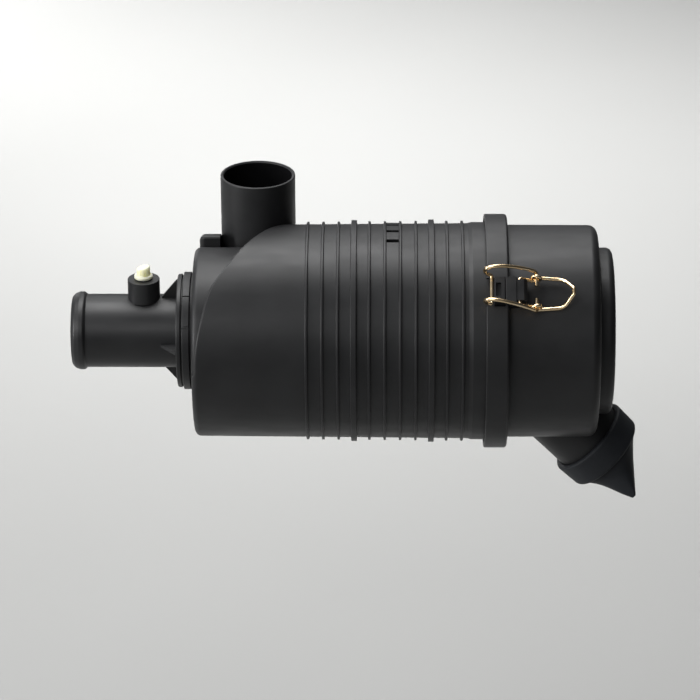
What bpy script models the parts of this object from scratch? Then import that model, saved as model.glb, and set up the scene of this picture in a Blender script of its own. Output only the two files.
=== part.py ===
"""Two-stage air filter housing with a horizontal axis.

Metres, +Z up.  The origin is on the housing axis, midway between the two tall
ribs that locate a mounting band.  +X runs toward the service cover, and the
inlet tube points up, along +Z.
"""
import math

import bmesh
import bpy
from mathutils import Matrix, Vector

MM = 0.001
GAP = 0.3 * MM              # clearance kept between neighbouring pieces

# Shared sizes
WALL = 2.5 * MM
ROUND = 36                  # facets round the housing and its large rings
ROUND_MID = 32              # facets round hoses, spout and valve
ROUND_SMALL = 20            # facets round the port and its plug

# Housing body
BODY_END_X = -136.0 * MM    # closed end, at the outlet
BODY_RIM_X = 74.0 * MM      # open end, under the cover
BODY_END_RADIUS = 72.9 * MM
DRAFT = 0.008               # growth of the radius along +X
END_ROUNDING = 4.0 * MM
COLLAR_X = 54.0 * MM        # the collar is the thicker band under the skirt
COLLAR_RADIUS = 75.15 * MM
COLLAR_SLOPE = 2.4 * MM     # length of the slope up to the collar
RIB_PITCH = 10.6 * MM
RIB_COUNT = 11
RIB_WIDTH = 1.6 * MM
RIB_HEIGHT = 1.8 * MM
TALL_RIB_X = 2.5 * RIB_PITCH
TALL_RIB_WIDTH = 3.8 * MM
TALL_RIB_HEIGHT = 2.7 * MM

# Inlet ramp: the plane that closes the full cylinder above the axis
RAMP_RUN = 43.6 * MM        # advance along X from the front side to the top
RAMP_FRONT_Y = -73.2 * MM
SMALL_END_RADIUS = 61.8 * MM
SMALL_END_Y = -10.8 * MM
SMALL_END_REACH_X = -50.0 * MM
ELEMENT_ROOM_RADIUS = 53.5 * MM

# Inlet duct and tube.  The duct's back is the mirror image of the small end.
HOSE_RADIUS = 25.4 * MM     # fits a 2 inch hose
INLET_RADIUS = 25.9 * MM    # the same hose, with mould draft
INLET_WALL = 2.3 * MM
INLET_X = -93.4 * MM
INLET_Y = 46.9 * MM
INLET_TOP_Z = 97.5 * MM
DUCT_END_X = -133.5 * MM
DUCT_REACH_X = -60.0 * MM
DUCT_FRONT_Y = 22.4 * MM
DUCT_BOTTOM_Z = -3.0 * MM

# Pad with three slots between the two middle ribs
PAD_HALF_LENGTH = 4.4 * MM
PAD_HALF_WIDTH = 19.0 * MM
PAD_HEIGHT = 0.8 * MM
SLOT_LENGTH = 8.2 * MM
SLOT_WIDTH = 3.5 * MM
SLOT_DEPTH = 1.4 * MM
SLOT_ANGLES = (-10.6, 0.0, 10.6)

# Outlet socket on the housing and the outlet tube in it
SOCKET_RADIUS = 40.7 * MM
SOCKET_FACE_X = -144.0 * MM
SOCKET_BACK_X = -138.8 * MM
SOCKET_NECK_RADIUS = 38.5 * MM
SOCKET_BORE = 30.3 * MM
OUTLET_END_X = -221.1 * MM
OUTLET_BEAD_X = -214.5 * MM
OUTLET_BEAD_RADIUS = 27.05 * MM
OUTLET_BORE = 22.9 * MM
OUTLET_TAPER_RADIUS = 26.0 * MM     # between the bead and the end
OUTLET_END_RADIUS = 23.9 * MM
FLANGE_FACE_X = -148.1 * MM
FLANGE_BACK_X = -145.0 * MM
FLANGE_RADIUS = 39.25 * MM
SPIGOT_RADIUS = 37.0 * MM
HUB_RADIUS = 30.0 * MM
SNAP_RADIUS = 31.4 * MM
STUB_RADIUS = 28.0 * MM
STUB_END_X = -105.0 * MM
O_RING_X = -140.0 * MM
O_RING_THICKNESS = 1.6 * MM
O_RING_GROOVE_WIDTH = 2.4 * MM
GUSSET_LENGTH = 11.0 * MM
GUSSET_TOP_RADIUS = 38.6 * MM
GUSSET_THICKNESS = 2.0 * MM

# Restriction-indicator port on the outlet tube
PORT_X = -171.3 * MM
PORT_TOP_Z = 39.3 * MM
PORT_BASE_Z = 24.0 * MM     # buried in the tube's wall
PORT_TOP_RADIUS = 10.9 * MM
PORT_BASE_RADIUS = 11.1 * MM
PORT_BORE = 4.6 * MM
PLUG_STEM_RADIUS = 4.2 * MM
PLUG_STEM_BOTTOM_Z = 27.5 * MM
PLUG_FLANGE_RADIUS = 6.35 * MM
PLUG_FLANGE_THICKNESS = 2.0 * MM
PLUG_KNOB_RADIUS = 4.5 * MM
PLUG_TOP_Z = 49.0 * MM
PLUG_SLANT = math.radians(-14.0)    # the knob's top falls away from the cover
PLUG_SLANT_DROP = 1.2 * MM          # at the plug's axis, below the highest point
PLUG_SEAL_THICKNESS = 1.0 * MM

# Service cover
SKIRT_START_X = 63.0 * MM
SKIRT_END_X = 78.5 * MM
SKIRT_RADIUS = 80.8 * MM
SKIRT_BORE = 78.0 * MM
COVER_RADIUS = 73.35 * MM
COVER_END_RADIUS = 73.1 * MM
COVER_SHOULDER_X = 140.8 * MM
COVER_ROUNDING = 5.5 * MM
CUP_RADIUS = 57.6 * MM
CUP_END_X = 151.2 * MM
CUP_ROUNDING = 4.5 * MM
SEAL_BORE = 71.3 * MM
SEAL_RADIUS = 75.0 * MM
SEAL_THICKNESS = 1.4 * MM

# Dust spout and dust valve, on one slanted axis in the plane y = 0
SPOUT_POINT = Vector((136.5, 0.0, -81.0)) * MM      # centre of the valve's upper rim
SPOUT_ANGLE = math.radians(45.0)                    # below +X
SPOUT_RADIUS = 26.0 * MM
SPOUT_BORE = 23.4 * MM
SPOUT_BEYOND_RIM = 14.0 * MM
SPOUT_INSIDE = 40.0 * MM
VALVE_COLLAR_LENGTH = 18.5 * MM
VALVE_TOP_RADIUS = 30.2 * MM
VALVE_COLLAR_END_RADIUS = 28.2 * MM
VALVE_LENGTH = 47.5 * MM
VALVE_DROOP = 1.7 * MM         # the lips hang this far below the spout's axis
VALVE_WIDTH = 26.0 * MM
VALVE_TIP_HALF = 1.9 * MM
VALVE_WALL = 2.2 * MM
VALVE_SHOULDER_RADIUS = 25.4 * MM   # where the lips start, below the collar
VALVE_SHOULDER_BORE = 22.0 * MM
VALVE_MIDDLE_WIDTH = 25.7 * MM      # half sizes of the lips, half way down
VALVE_MIDDLE_DEPTH = 14.2 * MM
VALVE_MIDDLE_BORE_DEPTH = 8.5 * MM

# Baffle sleeve inside the cover
BAFFLE_BORE = 60.0 * MM
BAFFLE_RADIUS = 61.5 * MM
BAFFLE_START_X = 72.0 * MM
BAFFLE_END_X = 138.0 * MM
BAFFLE_WINDOW_X = (104.0 * MM, 131.0 * MM)      # above the dust spout
BAFFLE_WINDOW_HALF_WIDTH = 17.0 * MM

# Latches.  Each is drawn in a frame with x along the housing, y round it and
# z pointing out from the axis.
LATCH_ANGLES = {"upper": 43.5, "lower": 223.5}      # from the front, over the top
LUG_START_X = 68.2 * MM
LUG_END_X = 75.4 * MM
LUG_HALF_WIDTH = 8.9 * MM
LUG_TOP = 86.2 * MM
NOTCH_HALF_WIDTH = 10.2 * MM
PIVOT_BLOCK_START_X = 75.7 * MM
WIDE_BLOCK_END_X = 83.2 * MM
WIDE_BLOCK_HALF_WIDTH = 8.9 * MM
NARROW_BLOCK_END_X = 90.3 * MM
NARROW_BLOCK_HALF_WIDTH = 7.3 * MM
WIRE_RADIUS = 1.25 * MM
PIVOT_X = 85.0 * MM
PIVOT_R = 82.4 * MM
EYE_X = 96.6 * MM
EYE_R = 79.8 * MM
EYE_RADIUS = 2.85 * MM
HANDLE_HALF_WIDTH = 10.6 * MM
HANDLE_LEG_R = 76.5 * MM
HANDLE_CORNER_X = 115.3 * MM
HANDLE_TIP_X = 122.2 * MM
HANDLE_TIP_R = 83.0 * MM
POCKET_X = (LUG_START_X + 1.0 * MM, LUG_START_X + 4.5 * MM)
POCKET_HALF_WIDTH = 4.75 * MM
POCKET_DEPTH = 3.0 * MM

# Half of the hook wire, in millimetres: from its end inside the handle's eye,
# out and over the pivot block, and down to the crosspiece behind the lug.
HOOK_ROUTE = [
    (96.6, 4.4, 79.8),
    (96.6, 13.5, 79.8),
    (94.9, 13.7, 83.4),
    (90.7, 13.7, 87.6),
    (85.5, 13.3, 91.6),
    (80.0, 12.9, 94.9),
    (74.0, 12.4, 97.8),
    (68.0, 11.8, 98.9),
    (63.3, 11.2, 97.6),
    (61.4, 10.9, 94.3),
    (61.8, 10.6, 90.4),
    (63.4, 10.4, 87.2),
    (66.4, 10.3, 85.0),
    (66.4, 0.0, 85.0),
]

PLEAT_THICKNESS = 0.06      # half the drawn paper, as a share of the pleat's depth

# Primary filter element
PRIMARY_RADIUS = 52.0 * MM
PRIMARY_START_X = -130.9 * MM
PRIMARY_CAP_END_X = -117.0 * MM
PRIMARY_END_X = 146.0 * MM
PRIMARY_END_CAP_X = 128.0 * MM
PRIMARY_RECESS_RADIUS = 30.0 * MM       # hollow in the closed cap's inner face
PRIMARY_RECESS_DEPTH = 4.0 * MM
PRIMARY_PLEATS = 36
PRIMARY_PLEAT_OUTER = 48.5 * MM
PRIMARY_PLEAT_INNER = 33.6 * MM
OUTER_LINER_BORE = 48.9 * MM
OUTER_LINER_RADIUS = 49.7 * MM
INNER_LINER_BORE = 31.8 * MM
INNER_LINER_RADIUS = 32.6 * MM

# Safety filter element
SAFETY_START_X = -130.0 * MM
SAFETY_CAP_END_X = -116.0 * MM
SAFETY_SEAL_RADIUS = 22.6 * MM
SAFETY_BORE = 14.6 * MM
SAFETY_END_X = 100.0 * MM
SAFETY_END_CAP_X = 92.0 * MM
SAFETY_CAP_RADIUS = 22.6 * MM
SAFETY_PLEATS = 24
SAFETY_PLEAT_OUTER = 21.4 * MM
SAFETY_PLEAT_INNER = 16.4 * MM
SAFETY_LINER_BORE = 14.6 * MM
SAFETY_LINER_RADIUS = 15.4 * MM


# ---------------------------------------------------------------- scene setup

for old in list(bpy.data.objects):
    bpy.data.objects.remove(old, do_unlink=True)

parts = bpy.data.collections.new("air_filter_housing")
cutters = bpy.data.collections.new("cutters")
bpy.context.scene.collection.children.link(parts)
bpy.context.scene.collection.children.link(cutters)


def make_material(name, colour, roughness, metallic=0.0):
    """One Principled BSDF with a plain colour."""
    material = bpy.data.materials.new(name)
    material.use_nodes = True
    shader = material.node_tree.nodes["Principled BSDF"]
    shader.inputs["Base Color"].default_value = (*colour, 1.0)
    shader.inputs["Roughness"].default_value = roughness
    shader.inputs["Metallic"].default_value = metallic
    return material


PLASTIC = make_material("black_moulded_plastic", (0.022, 0.022, 0.024), 0.48)
RUBBER = make_material("black_rubber", (0.016, 0.017, 0.019), 0.7)
YELLOW = make_material("pale_yellow_plastic", (0.86, 0.78, 0.36), 0.45)
PLATED_WIRE = make_material("zinc_yellow_wire", (0.72, 0.52, 0.20), 0.28, 1.0)
PAPER = make_material("filter_paper", (0.78, 0.71, 0.53), 0.9)
URETHANE = make_material("moulded_urethane", (0.05, 0.05, 0.055), 0.75)
LINER_STEEL = make_material("liner_steel", (0.62, 0.63, 0.64), 0.35, 1.0)


# ------------------------------------------------------------- shape builders

def place(name, data, material=None, parent=None, location=(0, 0, 0), cutter=False):
    """Add an object, as a part or as a hidden cutter."""
    shape = bpy.data.objects.new(name, data)
    (cutters if cutter else parts).objects.link(shape)
    shape.location = location
    shape.parent = parent
    if material:
        data.materials.append(material)
    if cutter:
        shape.hide_render = True
        shape.display_type = "WIRE"
    return shape


def from_bmesh(name, shape_mesh, **options):
    """Turn a bmesh into an object with outward faces."""
    bmesh.ops.recalc_face_normals(shape_mesh, faces=shape_mesh.faces)
    data = bpy.data.meshes.new(name)
    shape_mesh.to_mesh(data)
    shape_mesh.free()
    return place(name, data, **options)


def turned(name, profile, segments=ROUND, closed=False, axis="X", **options):
    """Turn a profile of (radius, position) points about the X or the Z axis.

    An open profile starts and ends on the axis.  Positions run from high to
    low down the outer side.
    """
    outline = bmesh.new()
    points = [outline.verts.new((radius, 0.0, height)) for radius, height in profile]
    for first, second in zip(points, points[1:]):
        outline.edges.new((first, second))
    if closed:
        outline.edges.new((points[-1], points[0]))
    data = bpy.data.meshes.new(name)
    outline.to_mesh(data)
    outline.free()
    shape = place(name, data, **options)
    if axis == "X":
        shape.rotation_euler = (0.0, math.pi / 2, 0.0)
    screw = shape.modifiers.new("turn", "SCREW")
    screw.axis = "Z"
    screw.angle = math.tau
    screw.steps = segments
    screw.render_steps = segments
    screw.use_merge_vertices = True
    screw.merge_threshold = 0.00001
    return shape


def ring(name, inner, outer, start, end, segments=ROUND, **options):
    """A plain tube along the housing axis, from start to end."""
    profile = [(outer, end), (outer, start), (inner, start), (inner, end)]
    return turned(name, profile, segments, closed=True, **options)


def disc(name, radius, start, end, segments=ROUND, **options):
    """A plain solid cylinder along the housing axis."""
    profile = [(0.0, end), (radius, end), (radius, start), (0.0, start)]
    return turned(name, profile, segments, **options)


def arc(centre, radius, start, end, steps=3):
    """Points (radius, position) on an arc, with angles in degrees."""
    angles = [math.radians(start + (end - start) * i / steps) for i in range(steps + 1)]
    return [(centre[0] + radius * math.cos(a), centre[1] + radius * math.sin(a)) for a in angles]


def box(name, low, high, rounding=0.0, **options):
    """A box between two corners, with rounded edges where asked."""
    low = Vector(low)
    high = Vector(high)
    block = bmesh.new()
    bmesh.ops.create_cube(block, size=1.0)
    bmesh.ops.scale(block, vec=high - low, verts=block.verts)
    bmesh.ops.translate(block, vec=(low + high) / 2, verts=block.verts)
    shape = from_bmesh(name, block, **options)
    if rounding:
        bevel = shape.modifiers.new("round_edges", "BEVEL")
        bevel.width = rounding
        bevel.segments = 2
    return shape


def prism(name, outline, half_width, **options):
    """A plate with an (x, z) outline and the given half width along y."""
    plate = bmesh.new()
    corners = [plate.verts.new((x, -half_width, z)) for x, z in outline]
    face = plate.faces.new(corners)
    grown = bmesh.ops.extrude_face_region(plate, geom=[face])
    moved = [item for item in grown["geom"] if isinstance(item, bmesh.types.BMVert)]
    bmesh.ops.translate(plate, vec=(0.0, 2 * half_width, 0.0), verts=moved)
    return from_bmesh(name, plate, **options)


def rod(name, radius, length, matrix, segments=ROUND_MID, top_radius=None, **options):
    """A cylinder or cone from the matrix's origin along its z axis."""
    bar = bmesh.new()
    bmesh.ops.create_cone(
        bar,
        cap_ends=True,
        segments=segments,
        radius1=radius,
        radius2=radius if top_radius is None else top_radius,
        depth=length,
    )
    bmesh.ops.translate(bar, vec=(0.0, 0.0, length / 2), verts=bar.verts)
    bmesh.ops.transform(bar, matrix=matrix, verts=bar.verts)
    return from_bmesh(name, bar, **options)


def loft(name, rings, **options):
    """Join rings of equal point counts, in order, and cap both ends."""
    skin = bmesh.new()
    rows = [[skin.verts.new(point) for point in points] for points in rings]
    for lower, upper in zip(rows, rows[1:]):
        for i, corner in enumerate(lower):
            after = (i + 1) % len(lower)
            skin.faces.new((corner, lower[after], upper[after], upper[i]))
    skin.faces.new(rows[0])
    skin.faces.new(rows[-1])
    return from_bmesh(name, skin, **options)


def boolean(shape, tool, operation):
    """Join, cut or trim a shape with another one."""
    modifier = shape.modifiers.new(tool.name, "BOOLEAN")
    modifier.operation = operation
    modifier.solver = "EXACT"
    modifier.object = tool


def join(shape, *tools):
    for tool in tools:
        boolean(shape, tool, "UNION")


def cut(shape, *tools):
    for tool in tools:
        boolean(shape, tool, "DIFFERENCE")


def smooth(shape, degrees=35.0):
    """Shade a finished mesh smooth, with sharp edges above an angle."""
    shape.data.shade_smooth()
    shape.data.set_sharp_from_angle(angle=math.radians(degrees))


def rounded_path(corners, bend, steps=3):
    """Replace each inner corner of a path by a short curved bend."""
    points = [Vector(corners[0])]
    for before, corner, after in zip(corners, corners[1:], corners[2:]):
        corner = Vector(corner)
        back = Vector(before) - corner
        ahead = Vector(after) - corner
        reach = min(bend, back.length * 0.45, ahead.length * 0.45)
        start = corner + back.normalized() * reach
        end = corner + ahead.normalized() * reach
        for i in range(steps + 1):
            t = i / steps
            points.append(start * (1 - t) ** 2 + corner * 2 * t * (1 - t) + end * t * t)
    points.append(Vector(corners[-1]))
    return points


def wire(name, points, **options):
    """A round wire along a path of points, with filled ends."""
    data = bpy.data.curves.new(name, "CURVE")
    data.dimensions = "3D"
    data.bevel_depth = WIRE_RADIUS
    data.bevel_resolution = 2
    data.use_fill_caps = True
    spline = data.splines.new("POLY")
    spline.points.add(len(points) - 1)
    for control, point in zip(spline.points, points):
        control.co = (*point, 1.0)
    return place(name, data, **options)


def mesh_from_curve(curve):
    """Replace a curve object by a mesh with welded caps."""
    bpy.context.view_layer.update()
    graph = bpy.context.evaluated_depsgraph_get()
    data = bpy.data.meshes.new_from_object(curve.evaluated_get(graph))
    welded = bmesh.new()
    welded.from_mesh(data)
    bmesh.ops.remove_doubles(welded, verts=welded.verts, dist=0.00001)
    bmesh.ops.recalc_face_normals(welded, faces=welded.faces)
    welded.to_mesh(data)
    welded.free()
    name = curve.name
    shape = bpy.data.objects.new(name + "_mesh", data)
    parts.objects.link(shape)
    shape.parent = curve.parent
    shape.matrix_world = curve.matrix_world.copy()
    bpy.data.objects.remove(curve, do_unlink=True)
    shape.name = name
    return shape


# --------------------------------------------------------------- housing body

def body_radius(x):
    """Outer radius of the housing between its ribs."""
    return BODY_END_RADIUS + DRAFT * (x - BODY_END_X)


def rib_profile():
    """Points of all the ribs, from +X to -X."""
    points = []
    for k in range(RIB_COUNT):
        x = (RIB_COUNT / 2 - 1 - k) * RIB_PITCH
        tall = abs(abs(x) - TALL_RIB_X) < MM
        half = (TALL_RIB_WIDTH if tall else RIB_WIDTH) / 2
        height = TALL_RIB_HEIGHT if tall else RIB_HEIGHT
        base = body_radius(x)
        points += [
            (base, x + half + 0.3 * MM),
            (base + height, x + half - 0.1 * MM),
            (base + height, x - half + 0.1 * MM),
            (base, x - half - 0.3 * MM),
        ]
    return points


def full_cylinder(name, inset, outside, **options):
    """The large cylinder; the outside one has ribs and a collar."""
    end_x = BODY_END_X + inset
    end_radius = BODY_END_RADIUS - inset
    rounding = END_ROUNDING - inset
    end_arc = arc((end_radius - rounding, end_x + rounding), rounding, 0, -90, 2)
    if outside:
        side = [
            (0.0, BODY_RIM_X),
            (COLLAR_RADIUS, BODY_RIM_X),
            (COLLAR_RADIUS, COLLAR_X + 0.4 * MM),
            (body_radius(COLLAR_X), COLLAR_X - COLLAR_SLOPE),
        ]
        side += rib_profile()
    else:
        beyond = BODY_RIM_X + 10 * MM
        side = [(0.0, beyond), (body_radius(beyond) - inset, beyond)]
    return turned(name, side + end_arc + [(0.0, end_x)], **options)


def rounded_drum(name, inset, start, end, centre_y):
    """A drum beside the housing axis, with a rounded edge at its start."""
    rounding = END_ROUNDING - inset
    radius = SMALL_END_RADIUS - inset
    profile = [(0.0, end), (radius, end)]
    profile += arc((radius - rounding, start + inset + rounding), rounding, 0, -90, 2)
    profile.append((0.0, start + inset))
    return turned(name, profile, cutter=True, location=(0, centre_y, 0))


def ramp_x(y):
    """Where the ramp's plane meets the height of the axis, at a given y."""
    return BODY_END_X + RAMP_RUN * (1 - y / RAMP_FRONT_Y)


def housing_form(name, inset, outside, **options):
    """The housing's outside (inset 0), or its cavity (inset by the wall)."""
    form = full_cylinder(name, inset, outside, **options)
    slope = math.hypot(1.0, RAMP_RUN / RAMP_FRONT_Y)
    left = BODY_END_X - 20 * MM
    side = 95 * MM
    outline = [
        (left, -side),
        (ramp_x(-side) + inset * slope, -side),
        (ramp_x(side) + inset * slope, side),
        (left, side),
    ]
    wedge = bmesh.new()
    face = wedge.faces.new([wedge.verts.new((x, y, -inset)) for x, y in outline])
    grown = bmesh.ops.extrude_face_region(wedge, geom=[face])
    moved = [item for item in grown["geom"] if isinstance(item, bmesh.types.BMVert)]
    bmesh.ops.translate(wedge, vec=(0.0, 0.0, side), verts=moved)
    cut(form, from_bmesh(name + "_ramp", wedge, cutter=True))

    small_end = rounded_drum(name + "_small_end", inset, BODY_END_X, SMALL_END_REACH_X, SMALL_END_Y)
    duct = rounded_drum(name + "_duct", inset, DUCT_END_X, DUCT_REACH_X - inset, -SMALL_END_Y)
    duct_window = box(
        name + "_duct_window",
        (left, DUCT_FRONT_Y + inset, DUCT_BOTTOM_Z - inset),
        (0.0, side, side),
        cutter=True,
    )
    boolean(duct, duct_window, "INTERSECT")
    base_z = 2 * MM - 3 * inset
    top_z = INLET_TOP_Z if outside else INLET_TOP_Z + 5 * MM
    inlet = rod(
        name + "_inlet",
        INLET_RADIUS if outside else INLET_RADIUS - INLET_WALL,
        top_z - base_z,
        Matrix.Translation((INLET_X, INLET_Y, base_z)),
        cutter=True,
    )
    join(form, small_end, duct, inlet)
    return form


def latch_station(label):
    """An empty that carries the frame of one latch."""
    station = bpy.data.objects.new("latch_station_" + label, None)
    parts.objects.link(station)
    station.rotation_euler = (math.radians(90.0 - LATCH_ANGLES[label]), 0.0, 0.0)
    return station


stations = {label: latch_station(label) for label in LATCH_ANGLES}


def make_housing_body():
    body = housing_form("housing_body", 0.0, True, material=PLASTIC)

    socket_profile = [
        (0.0, BODY_END_X + 1.2 * MM),
        (SOCKET_NECK_RADIUS, BODY_END_X + 1.2 * MM),
        (SOCKET_NECK_RADIUS, SOCKET_BACK_X),
        (SOCKET_RADIUS, SOCKET_BACK_X),
        (SOCKET_RADIUS, SOCKET_FACE_X),
        (0.0, SOCKET_FACE_X),
    ]
    join(body, turned("socket", socket_profile, cutter=True))

    pad_radius = body_radius(0.0) + PAD_HEIGHT
    pad = ring("pad", 72 * MM, pad_radius, -PAD_HALF_LENGTH, PAD_HALF_LENGTH, cutter=True)
    pad_window = box(
        "pad_window",
        (-10 * MM, -PAD_HALF_WIDTH, 50 * MM),
        (10 * MM, PAD_HALF_WIDTH, 90 * MM),
        cutter=True,
    )
    boolean(pad, pad_window, "INTERSECT")
    join(body, pad)

    for number, angle in enumerate(SLOT_ANGLES):
        slot = box(
            "slot_%d" % number,
            (-SLOT_LENGTH / 2, -SLOT_WIDTH / 2, pad_radius - SLOT_DEPTH),
            (SLOT_LENGTH / 2, SLOT_WIDTH / 2, pad_radius + 5 * MM),
            cutter=True,
        )
        slot.rotation_euler = (math.radians(angle), 0.0, 0.0)
        cut(body, slot)

    overhang_bottom = COLLAR_RADIUS + 2 * GAP
    lug_outline = [
        (LUG_START_X, 73.0 * MM),
        (BODY_RIM_X - 0.4 * MM, 73.0 * MM),
        (BODY_RIM_X - 0.4 * MM, overhang_bottom),
        (LUG_END_X, overhang_bottom),
        (LUG_END_X, LUG_TOP),
        (LUG_START_X, LUG_TOP),
    ]
    for label, station in stations.items():
        lug = prism("lug_" + label, lug_outline, LUG_HALF_WIDTH, cutter=True, parent=station)
        pocket = box(
            "lug_pocket_" + label,
            (POCKET_X[0], -POCKET_HALF_WIDTH, LUG_TOP - POCKET_DEPTH),
            (POCKET_X[1], POCKET_HALF_WIDTH, LUG_TOP + 3 * MM),
            cutter=True,
            parent=station,
        )
        join(body, lug)
        cut(body, pocket)

    room_start = BODY_END_X + WALL + 0.8 * MM
    cut(body, disc("element_room", ELEMENT_ROOM_RADIUS, room_start, 0.0, cutter=True))
    cut(body, disc("socket_bore", SOCKET_BORE, SOCKET_FACE_X - 5 * MM, -125 * MM, cutter=True))
    cut(body, housing_form("housing_cavity", WALL, False, cutter=True))
    smooth(body)


# ---------------------------------------------------------------- outlet tube

def make_outlet_tube():
    groove_low = O_RING_X - O_RING_GROOVE_WIDTH / 2
    groove_high = O_RING_X + O_RING_GROOVE_WIDTH / 2
    snap_start = BODY_END_X + WALL + GAP
    profile = [
        (STUB_RADIUS - MM, STUB_END_X),
        (STUB_RADIUS, STUB_END_X - MM),
        (STUB_RADIUS, snap_start + 2.4 * MM),
        (SNAP_RADIUS - MM, snap_start + 2.0 * MM),
        (SNAP_RADIUS, snap_start + MM),
        (SNAP_RADIUS, snap_start),
        (HUB_RADIUS, snap_start),
        (HUB_RADIUS, groove_high),
        (STUB_RADIUS, groove_high),
        (STUB_RADIUS, groove_low),
        (HUB_RADIUS, groove_low),
        (HUB_RADIUS, SOCKET_FACE_X - GAP),
        (SPIGOT_RADIUS, SOCKET_FACE_X - GAP),
        (SPIGOT_RADIUS, FLANGE_BACK_X),
        (FLANGE_RADIUS, FLANGE_BACK_X),
        (FLANGE_RADIUS, FLANGE_FACE_X),
        (HOSE_RADIUS, FLANGE_FACE_X),
        (HOSE_RADIUS, OUTLET_BEAD_X + 3.8 * MM),
        (OUTLET_BEAD_RADIUS - 0.3 * MM, OUTLET_BEAD_X + 1.2 * MM),
        (OUTLET_BEAD_RADIUS, OUTLET_BEAD_X),
        (OUTLET_BEAD_RADIUS - 0.3 * MM, OUTLET_BEAD_X - 1.2 * MM),
        (OUTLET_TAPER_RADIUS, OUTLET_END_X + 2.2 * MM),
        (OUTLET_END_RADIUS, OUTLET_END_X),
        (OUTLET_BORE, OUTLET_END_X),
        (OUTLET_BORE, STUB_END_X),
    ]
    tube = turned("outlet_tube", profile, closed=True, material=PLASTIC)

    gusset_outline = [
        (FLANGE_FACE_X - GUSSET_LENGTH, HOSE_RADIUS - MM),
        (FLANGE_FACE_X + MM, HOSE_RADIUS - MM),
        (FLANGE_FACE_X + MM, GUSSET_TOP_RADIUS),
        (FLANGE_FACE_X - 0.5 * MM, GUSSET_TOP_RADIUS),
        (FLANGE_FACE_X - GUSSET_LENGTH, HOSE_RADIUS + 0.4 * MM),
    ]
    for number in range(4):
        gusset = prism("gusset_%d" % number, gusset_outline, GUSSET_THICKNESS / 2, cutter=True)
        gusset.rotation_euler = (number * math.pi / 2, 0.0, 0.0)
        join(tube, gusset)

    port = rod(
        "port",
        PORT_BASE_RADIUS,
        PORT_TOP_Z - PORT_BASE_Z,
        Matrix.Translation((PORT_X, 0.0, PORT_BASE_Z)),
        segments=ROUND_SMALL,
        top_radius=PORT_TOP_RADIUS,
        cutter=True,
    )
    port_bore = rod(
        "port_bore",
        PORT_BORE,
        PORT_TOP_Z + 5 * MM,
        Matrix.Translation((PORT_X, 0.0, 0.0)),
        segments=ROUND_SMALL,
        cutter=True,
    )
    tube_bore = disc("tube_bore", OUTLET_BORE, OUTLET_END_X - 5 * MM, -160 * MM, cutter=True)
    join(tube, port)
    cut(tube, port_bore, tube_bore)
    smooth(tube)


def make_outlet_o_ring():
    half = O_RING_THICKNESS / 2
    middle = (STUB_RADIUS + SOCKET_BORE) / 2
    sides = 6
    turn = 2 * math.pi / sides
    profile = [
        (middle + half * math.cos(i * turn), O_RING_X - half * math.sin(i * turn))
        for i in range(sides)
    ]
    turned("outlet_o_ring", profile, closed=True, material=RUBBER)


def make_port_plug():
    flange_bottom = PORT_TOP_Z + PLUG_SEAL_THICKNESS + 2 * GAP
    flange_top = flange_bottom + PLUG_FLANGE_THICKNESS
    profile = [(0.0, PLUG_TOP_Z)]
    profile += arc((PLUG_KNOB_RADIUS - 1.5 * MM, PLUG_TOP_Z - 1.5 * MM), 1.5 * MM, 90, 0, 2)
    profile += [
        (PLUG_KNOB_RADIUS + 0.2 * MM, flange_top),
        (PLUG_FLANGE_RADIUS, flange_top),
        (PLUG_FLANGE_RADIUS, flange_bottom),
        (PLUG_STEM_RADIUS, flange_bottom),
        (PLUG_STEM_RADIUS, PLUG_STEM_BOTTOM_Z + MM),
        (PLUG_STEM_RADIUS - MM, PLUG_STEM_BOTTOM_Z),
        (0.0, PLUG_STEM_BOTTOM_Z),
    ]
    plug = turned(
        "port_plug", profile, ROUND_SMALL, axis="Z", material=YELLOW, location=(PORT_X, 0, 0)
    )
    slant = box(
        "plug_slant",
        (-12 * MM, -8 * MM, 0.0),
        (12 * MM, 8 * MM, 8 * MM),
        cutter=True,
        location=(PORT_X, 0.0, PLUG_TOP_Z - PLUG_SLANT_DROP),
    )
    slant.rotation_euler = (0.0, PLUG_SLANT, 0.0)
    cut(plug, slant)
    smooth(plug)

    seal_bottom = PORT_TOP_Z + GAP
    seal_profile = [
        (PLUG_FLANGE_RADIUS - 0.2 * MM, seal_bottom + PLUG_SEAL_THICKNESS),
        (PLUG_FLANGE_RADIUS - 0.2 * MM, seal_bottom),
        (PORT_BORE, seal_bottom),
        (PORT_BORE, seal_bottom + PLUG_SEAL_THICKNESS),
    ]
    turned(
        "port_plug_seal",
        seal_profile,
        ROUND_SMALL,
        closed=True,
        axis="Z",
        material=RUBBER,
        location=(PORT_X, 0, 0),
    )


# -------------------------------------------------------------- service cover

def spout_frame():
    """Frame with z down the spout and x across the housing."""
    down = Vector((math.cos(SPOUT_ANGLE), 0.0, -math.sin(SPOUT_ANGLE)))
    across = Vector((0.0, 1.0, 0.0))
    third = down.cross(across)
    matrix = Matrix((across, third, down)).transposed().to_4x4()
    matrix.translation = SPOUT_POINT
    return matrix


def cover_cavity_profile():
    inner = COVER_RADIUS - WALL
    end_x = COVER_SHOULDER_X - WALL
    cup = CUP_RADIUS - WALL
    cup_end = CUP_END_X - WALL
    profile = [(0.0, cup_end)]
    profile += arc((cup - 2 * MM, cup_end - 2 * MM), 2 * MM, 90, 0, 2)
    profile.append((cup, end_x))
    profile += arc((inner - 3 * MM, end_x - 3 * MM), 3 * MM, 90, 0, 2)
    profile += [(inner, SKIRT_START_X), (0.0, SKIRT_START_X)]
    return profile


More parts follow.
